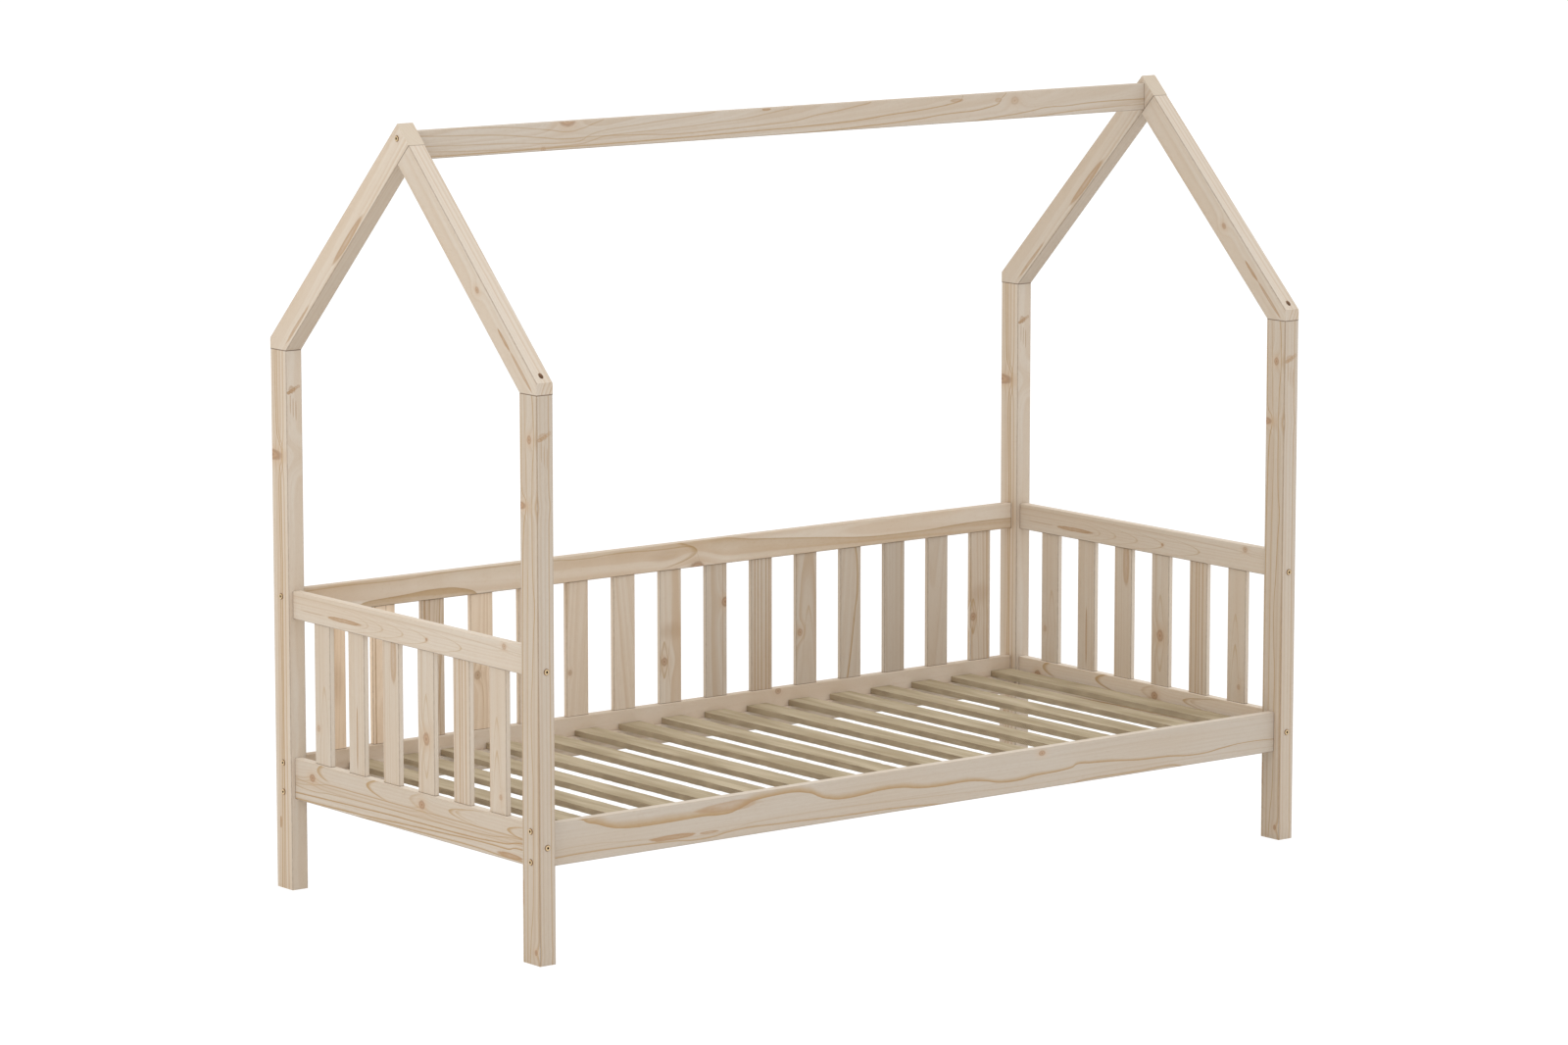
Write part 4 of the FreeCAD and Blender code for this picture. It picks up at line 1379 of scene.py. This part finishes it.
def turned_piece(name, fastener_list, rings_for, finishes, finish_of_ring=lambda ring: 0,
                 around=AROUND):
    """One piece that holds every fastener of one kind. A ring of faces may have another finish."""
    verts, faces = [], []
    for fastener in fastener_list:
        rings = rings_for(fastener)
        faces += tube_faces(len(verts), len(rings), around)
        verts += ring_points(fastener, rings, around)
    piece = new_piece(name, verts, faces, *finishes)
    per_screw = len(faces) // len(fastener_list)
    for number, face in enumerate(piece.data.polygons):
        place = number % per_screw
        if place < per_screw - TUBE_ENDS:
            face.material_index = finish_of_ring(place // around)
    turn_outwards(piece.data, SHARP_EDGE)
    print(name, "has", len(faces), "faces")
    return piece


def threaded(start, end, core, outer, pitch):
    """The rings of a thread between two depths."""
    step = pitch / THREAD_STEPS
    depths = [start + number * step for number in range(1, int((end - start) / step))]
    return [(start, circle(core))] + [(depth, thread(core, outer, pitch, depth))
                                      for depth in depths]


print("smooth shading breaks at", round(math.degrees(SHARP_EDGE)), "degrees")

# %% [markdown]
# ## Yellow screws
#
# The screws that hold the rails have flat heads that stand proud of the posts. The head's rim is
# rounded, and its plating is painted browner as shade and dark reflection. The socket for a hexagon
# key is deep, and its walls are painted dark as shade. Yellow passivated zinc is a soft brass colour
# that shifts a little to green and rose. The shank is hidden in the wood, but it is real: plain near
# the head and threaded where it bites.

# %% Connector screws
HEAD_RADIUS = 0.006
HEAD_HEIGHT = 0.0022
KEY_ACROSS = 0.004
KEY_DEPTH = 0.0034
SHANK_RADIUS = 0.0034
THREAD_RADIUS = 0.0035
THREAD_CORE = 0.0027
THREAD_LENGTH = 0.036
THREAD_PITCH = 0.003


def connector_rings(fastener):
    """From the bottom of the socket, up and over the head, and down the shank."""
    shank_end = fastener.length
    key = hexagon(KEY_ACROSS)
    rings = [(KEY_DEPTH + 0.0001, circle(0.0004)), (KEY_DEPTH, key), (0.0003, key),
             (0.0, circle(0.00262)), (0.0, circle(0.0042)), (0.0001, circle(0.0050)),
             (0.0004, circle(0.00558)), (0.0009, circle(0.0059)), (0.0014, circle(HEAD_RADIUS)),
             (HEAD_HEIGHT - 0.0001, circle(HEAD_RADIUS)), (HEAD_HEIGHT, circle(0.0058)),
             (HEAD_HEIGHT, circle(SHANK_RADIUS)), (shank_end - THREAD_LENGTH, circle(SHANK_RADIUS))]
    rings += threaded(shank_end - THREAD_LENGTH + 0.001, shank_end - 0.002, THREAD_CORE,
                      THREAD_RADIUS, THREAD_PITCH)
    return rings + [(shank_end - 0.001, circle(0.0024)), (shank_end, circle(0.0008))]


def metal(name, colour, tint, roughness):
    """Plated steel: two hues of plating and fine scratches."""
    finish = Finish(name, Metallic=1.0)
    bloom = finish.noise(finish.object_place(260), 1.0)
    scratch = finish.noise(finish.object_place(2600), 2.0, 3)
    finish.show("Base Color", finish.mix(bloom.step(0.35, 0.65), colour, tint))
    finish.show("Roughness", scratch * 0.22 + roughness)
    finish.show("Normal", finish.bump(scratch, 0.00005, 0.3))
    return finish.material


yellow_zinc = metal("yellow_zinc", srgb(226, 202, 160), srgb(214, 186, 146), 0.28)
# Painted shade: a browner rim for the head's rounded side, and a dark socket.
rim_zinc = metal("rim_zinc", srgb(150, 118, 84), srgb(128, 98, 70), 0.40)
socket_steel = metal("socket_steel", srgb(74, 58, 46), srgb(58, 46, 38), 0.55)
bright_zinc = metal("bright_zinc", srgb(196, 199, 204), srgb(184, 188, 196), 0.26)
SOCKET_RINGS = 3                # rings of faces in the socket, with its chamfer
RIM_RINGS = range(6, 11)        # rings of faces round the head's rim


def connector_finish(ring):
    """The socket is painted dark as shade, and the rim browner as painted shade and dark reflection.
    """
    if ring < SOCKET_RINGS:
        return 2
    return 1 if ring in RIM_RINGS else 0


for node in ("connector_screws_short", "connector_screws_long"):
    piece = turned_piece("turned_" + node, fasteners[node], connector_rings,
                         (yellow_zinc, rim_zinc, socket_steel), connector_finish)
    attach(piece, "root")
    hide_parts(node)

# %% [markdown]
# ## Sunk screws
#
# The gable is held by bright zinc screws whose heads sit deep in the round holes. They have a
# hexagon socket too, a coarse thread that fills most of their length, and a point.

# %% Roof screws
def roof_screw_rings(fastener):
    end = fastener.length
    key = hexagon(KEY_ACROSS)
    rings = [(0.0019, circle(0.0004)), (0.0018, key), (0.0002, key), (0.0, circle(0.0026)),
             (0.0, circle(0.0038)), (0.0003, circle(0.0043)), (0.0009, circle(0.0045)),
             (0.0029, circle(0.0045)), (0.003, circle(0.0043)), (0.003, circle(0.0026)),
             (0.012, circle(0.0026))]
    rings += threaded(0.013, end - 0.007, 0.0021, 0.003, 0.0035)
    return rings + [(end - 0.006, circle(0.002)), (end - 0.003, circle(0.0013)),
                    (end, circle(0.0002))]


for node in ("eaves_screws", "apex_screws"):
    piece = turned_piece("turned_" + node, fasteners[node], roof_screw_rings,
                         (bright_zinc, socket_steel), lambda ring: int(ring < SOCKET_RINGS))
    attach(piece, "root")
    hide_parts(node)

# %% [markdown]
# ## Dowels
#
# Beech dowels beside the screws keep the rails from turning. They are inside the wood, so nobody
# sees them on the built bed, but they are there when it is taken apart. Small grooves along them
# let the glue and the air out, and their ends are chamfered.

# %% Fluted dowels
DOWEL_RADIUS = 0.004
DOWEL_TIP = 0.003
DOWEL_CHAMFER = 0.0012
DOWEL_AROUND = 48
FLUTE_DEPTH = 0.0003


def fluted(angle):
    """Every second point of a dowel's ring lies in a groove."""
    groove = round(angle / (2 * math.pi) * DOWEL_AROUND) % 2
    return DOWEL_RADIUS - FLUTE_DEPTH * groove


def dowel_rings(fastener):
    end = fastener.length
    return [(0.0, circle(DOWEL_TIP)), (DOWEL_CHAMFER, fluted), (end - DOWEL_CHAMFER, fluted),
            (end, circle(DOWEL_TIP))]


def beech():
    """Beech: pinkish, with short dark flecks."""
    finish = Finish("beech")
    fleck = finish.noise(finish.object_place(500), 3.0, 3)
    finish.show("Base Color", finish.mix(fleck.step(0.4, 0.75), srgb(208, 172, 132),
                                         srgb(168, 124, 88)))
    finish.show("Roughness", fleck * 0.15 + 0.5)
    return finish.material


dowels = turned_piece("fluted_dowels", fasteners["wood_dowels"], dowel_rings, (beech(),),
                      around=DOWEL_AROUND)
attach(dowels, "root")
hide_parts("wood_dowels")

# %% [markdown]
# ## Ledger screws
#
# Each ledger is screwed to its rail from inside the bed. These small countersunk screws sit flush
# with the ledger, and the model has no node for them, so they simply ride on the bed.

# %% Countersunk screws
LEDGER_SCREWS = 7
LEDGER_SCREW_LENGTH = 0.034
LEDGER_SCREW_REACH = 0.92       # of the outermost screws, from the bed's middle
LEDGER_KEY = 0.0024
LEDGER_AROUND = 24              # points on a ring of these small screws


@dataclass
class Placed:
    """A screw whose place is given: the top of its head, its direction and its length."""

    top: Vector
    direction: Vector
    length: float


def countersunk_rings(fastener):
    end = fastener.length
    key = hexagon(LEDGER_KEY)
    rings = [(0.0016, circle(0.0003)), (0.0015, key), (0.0001, key), (0.0, circle(0.0016)),
             (0.0, circle(0.0038)), (0.0003, circle(0.004)), (0.0026, circle(0.0019)),
             (0.008, circle(0.0017))]
    rings += threaded(0.009, end - 0.005, 0.0013, 0.002, 0.0022)
    return rings + [(end - 0.004, circle(0.0013)), (end, circle(0.0002))]


ledger_screws = []
for name, outwards in (("slat_ledger_front", -1), ("slat_ledger_back", 1)):
    low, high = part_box(name)
    inner_face = high.y if outwards < 0 else low.y
    for number in range(LEDGER_SCREWS):
        x = LEDGER_SCREW_REACH * (2 * number / (LEDGER_SCREWS - 1) - 1)
        top = Vector((x, inner_face - outwards * 0.0003, (low.z + high.z) / 2))
        ledger_screws.append(Placed(top, Y_AXIS * outwards, LEDGER_SCREW_LENGTH))
piece = turned_piece("ledger_screws", ledger_screws, countersunk_rings,
                     (bright_zinc, socket_steel), lambda ring: int(ring < SOCKET_RINGS),
                     LEDGER_AROUND)
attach(piece, "root")
print("screws under the bed:", len(ledger_screws))

# %% [markdown]
# ## The studio
#
# The photograph has no visible floor or wall: all around the bed is white. So the floor is pale
# matt board that also glows a little from within, like a light table, and its shadows nearly
# vanish. A glowing floor would light the bed from below as well. To keep that in hand, the glowing
# floor is seen only by the camera, and the light that comes back from below is thrown by a second
# floor just under it, which the camera can't see. A white wall far away closes the horizon for low
# views, and lights nothing.

# %% Floor
FLOOR_REACH = 60.0
FLOOR_GLOW = 1.0


def stage_piece(name, verts, faces, material):
    """A piece of the studio, which is no part of the bed."""
    piece = new_piece(name, verts, faces, material)
    return piece


def pale_board(name, paleness=0.95, glow=0.0):
    """Matt white board with a barely uneven tone."""
    finish = Finish(name, Emission_Color=(1, 1, 1, 1), Emission_Strength=glow)
    cloud = finish.noise(finish.object_place(), 5.0)
    finish.show("Base Color", finish.mix(cloud, (paleness,) * 3, (paleness * 0.99,) * 3))
    finish.show("Roughness", cloud * 0.05 + 0.85)
    return finish.material


def square_at(height):
    return [(x * FLOOR_REACH, y * FLOOR_REACH, height)
            for x, y in ((-1, -1), (1, -1), (1, 1), (-1, 1))]


def only_for_camera(piece):
    """Hides a piece from the light, so that it neither lights the bed nor shades it."""
    piece.visible_diffuse = False
    piece.visible_glossy = False
    piece.visible_shadow = False


floor = stage_piece("floor", square_at(0.0), [(0, 1, 2, 3)],
                    pale_board("pale_floor", 0.03, FLOOR_GLOW))
only_for_camera(floor)
bounce = stage_piece("bounce_board", square_at(-0.002), [(0, 1, 2, 3)], pale_board("bounce_board"))
bounce.visible_camera = False
print("floor", 2 * FLOOR_REACH, "m wide")

# %% Wall
WALL_RADIUS = 58.0
WALL_HEIGHT = 40.0
WALL_BOTTOM = -1.0
WALL_SIDES = 64

angles = [2 * math.pi * side / WALL_SIDES for side in range(WALL_SIDES)]
verts = [(WALL_RADIUS * math.cos(angle), WALL_RADIUS * math.sin(angle), height)
         for height in (WALL_BOTTOM, WALL_HEIGHT) for angle in angles]
faces = [(side, (side + 1) % WALL_SIDES, (side + 1) % WALL_SIDES + WALL_SIDES, side + WALL_SIDES)
         for side in range(WALL_SIDES)]
white_wall = Finish("white_wall", Base_Color=(0, 0, 0, 1), Emission_Color=(1, 1, 1, 1),
                    Emission_Strength=1.0)
only_for_camera(stage_piece("wall", verts, faces, white_wall.material))
print("wall", WALL_HEIGHT, "m high")

# %% [markdown]
# ## Lamps
#
# The photograph's light is soft and comes from everywhere, but more of it from above and from the
# left, so the ends of the bed are brighter than its front. Two suns with wide discs give the soft
# general light, one from above and a bluish one from the front. Two large softboxes at the left
# brighten the end panel, and a faint warm sky fills the rest. The lamps are hidden from the camera.

# %% Lamps
def lamp(name, kind, place, aim, tint, **settings):
    """A lamp that shines from its place towards a point. The camera can't see it."""
    data = bpy.data.lights.new(name, kind)
    data.color = tint
    for setting, value in settings.items():
        setattr(data, setting, value)
    made = bpy.data.objects.new(name, data)
    made.location = place
    made.rotation_euler = (Vector(aim) - Vector(place)).to_track_quat("-Z", "Y").to_euler()
    made.visible_camera = False
    bpy.context.scene.collection.objects.link(made)
    return made


BED_END = (-0.5, 0, 0.8)
SKY_TINT = (1.0, 0.975, 0.92)
SKY_STRENGTH = 0.76

lamp("ceiling", "SUN", (0, 0, 6), (0, 0, 0), (0.94, 0.98, 1.06), energy=1.02,
     angle=math.radians(90))
lamp("front_fill", "SUN", (0, -6, 2), (0, 0, 0), (0.40, 0.62, 1.0), energy=0.32,
     angle=math.radians(80))
lamp("high_softbox", "AREA", (-4.5, -1.5, 4.0), BED_END, (1, 1, 1), energy=27, shape="SQUARE",
     size=2.5)
lamp("side_softbox", "AREA", (-4.5, -1.0, 1.6), BED_END, (1, 1, 1), energy=6, shape="SQUARE",
     size=2.5)

world = bpy.data.worlds.new("studio")
world.use_nodes = True
bpy.context.scene.world = world
sky = world.node_tree.nodes["Background"]
sky.inputs["Color"].default_value = (*SKY_TINT, 1)
sky.inputs["Strength"].default_value = SKY_STRENGTH
bpy.context.scene.view_settings.view_transform = "Standard"
print("studio ready")
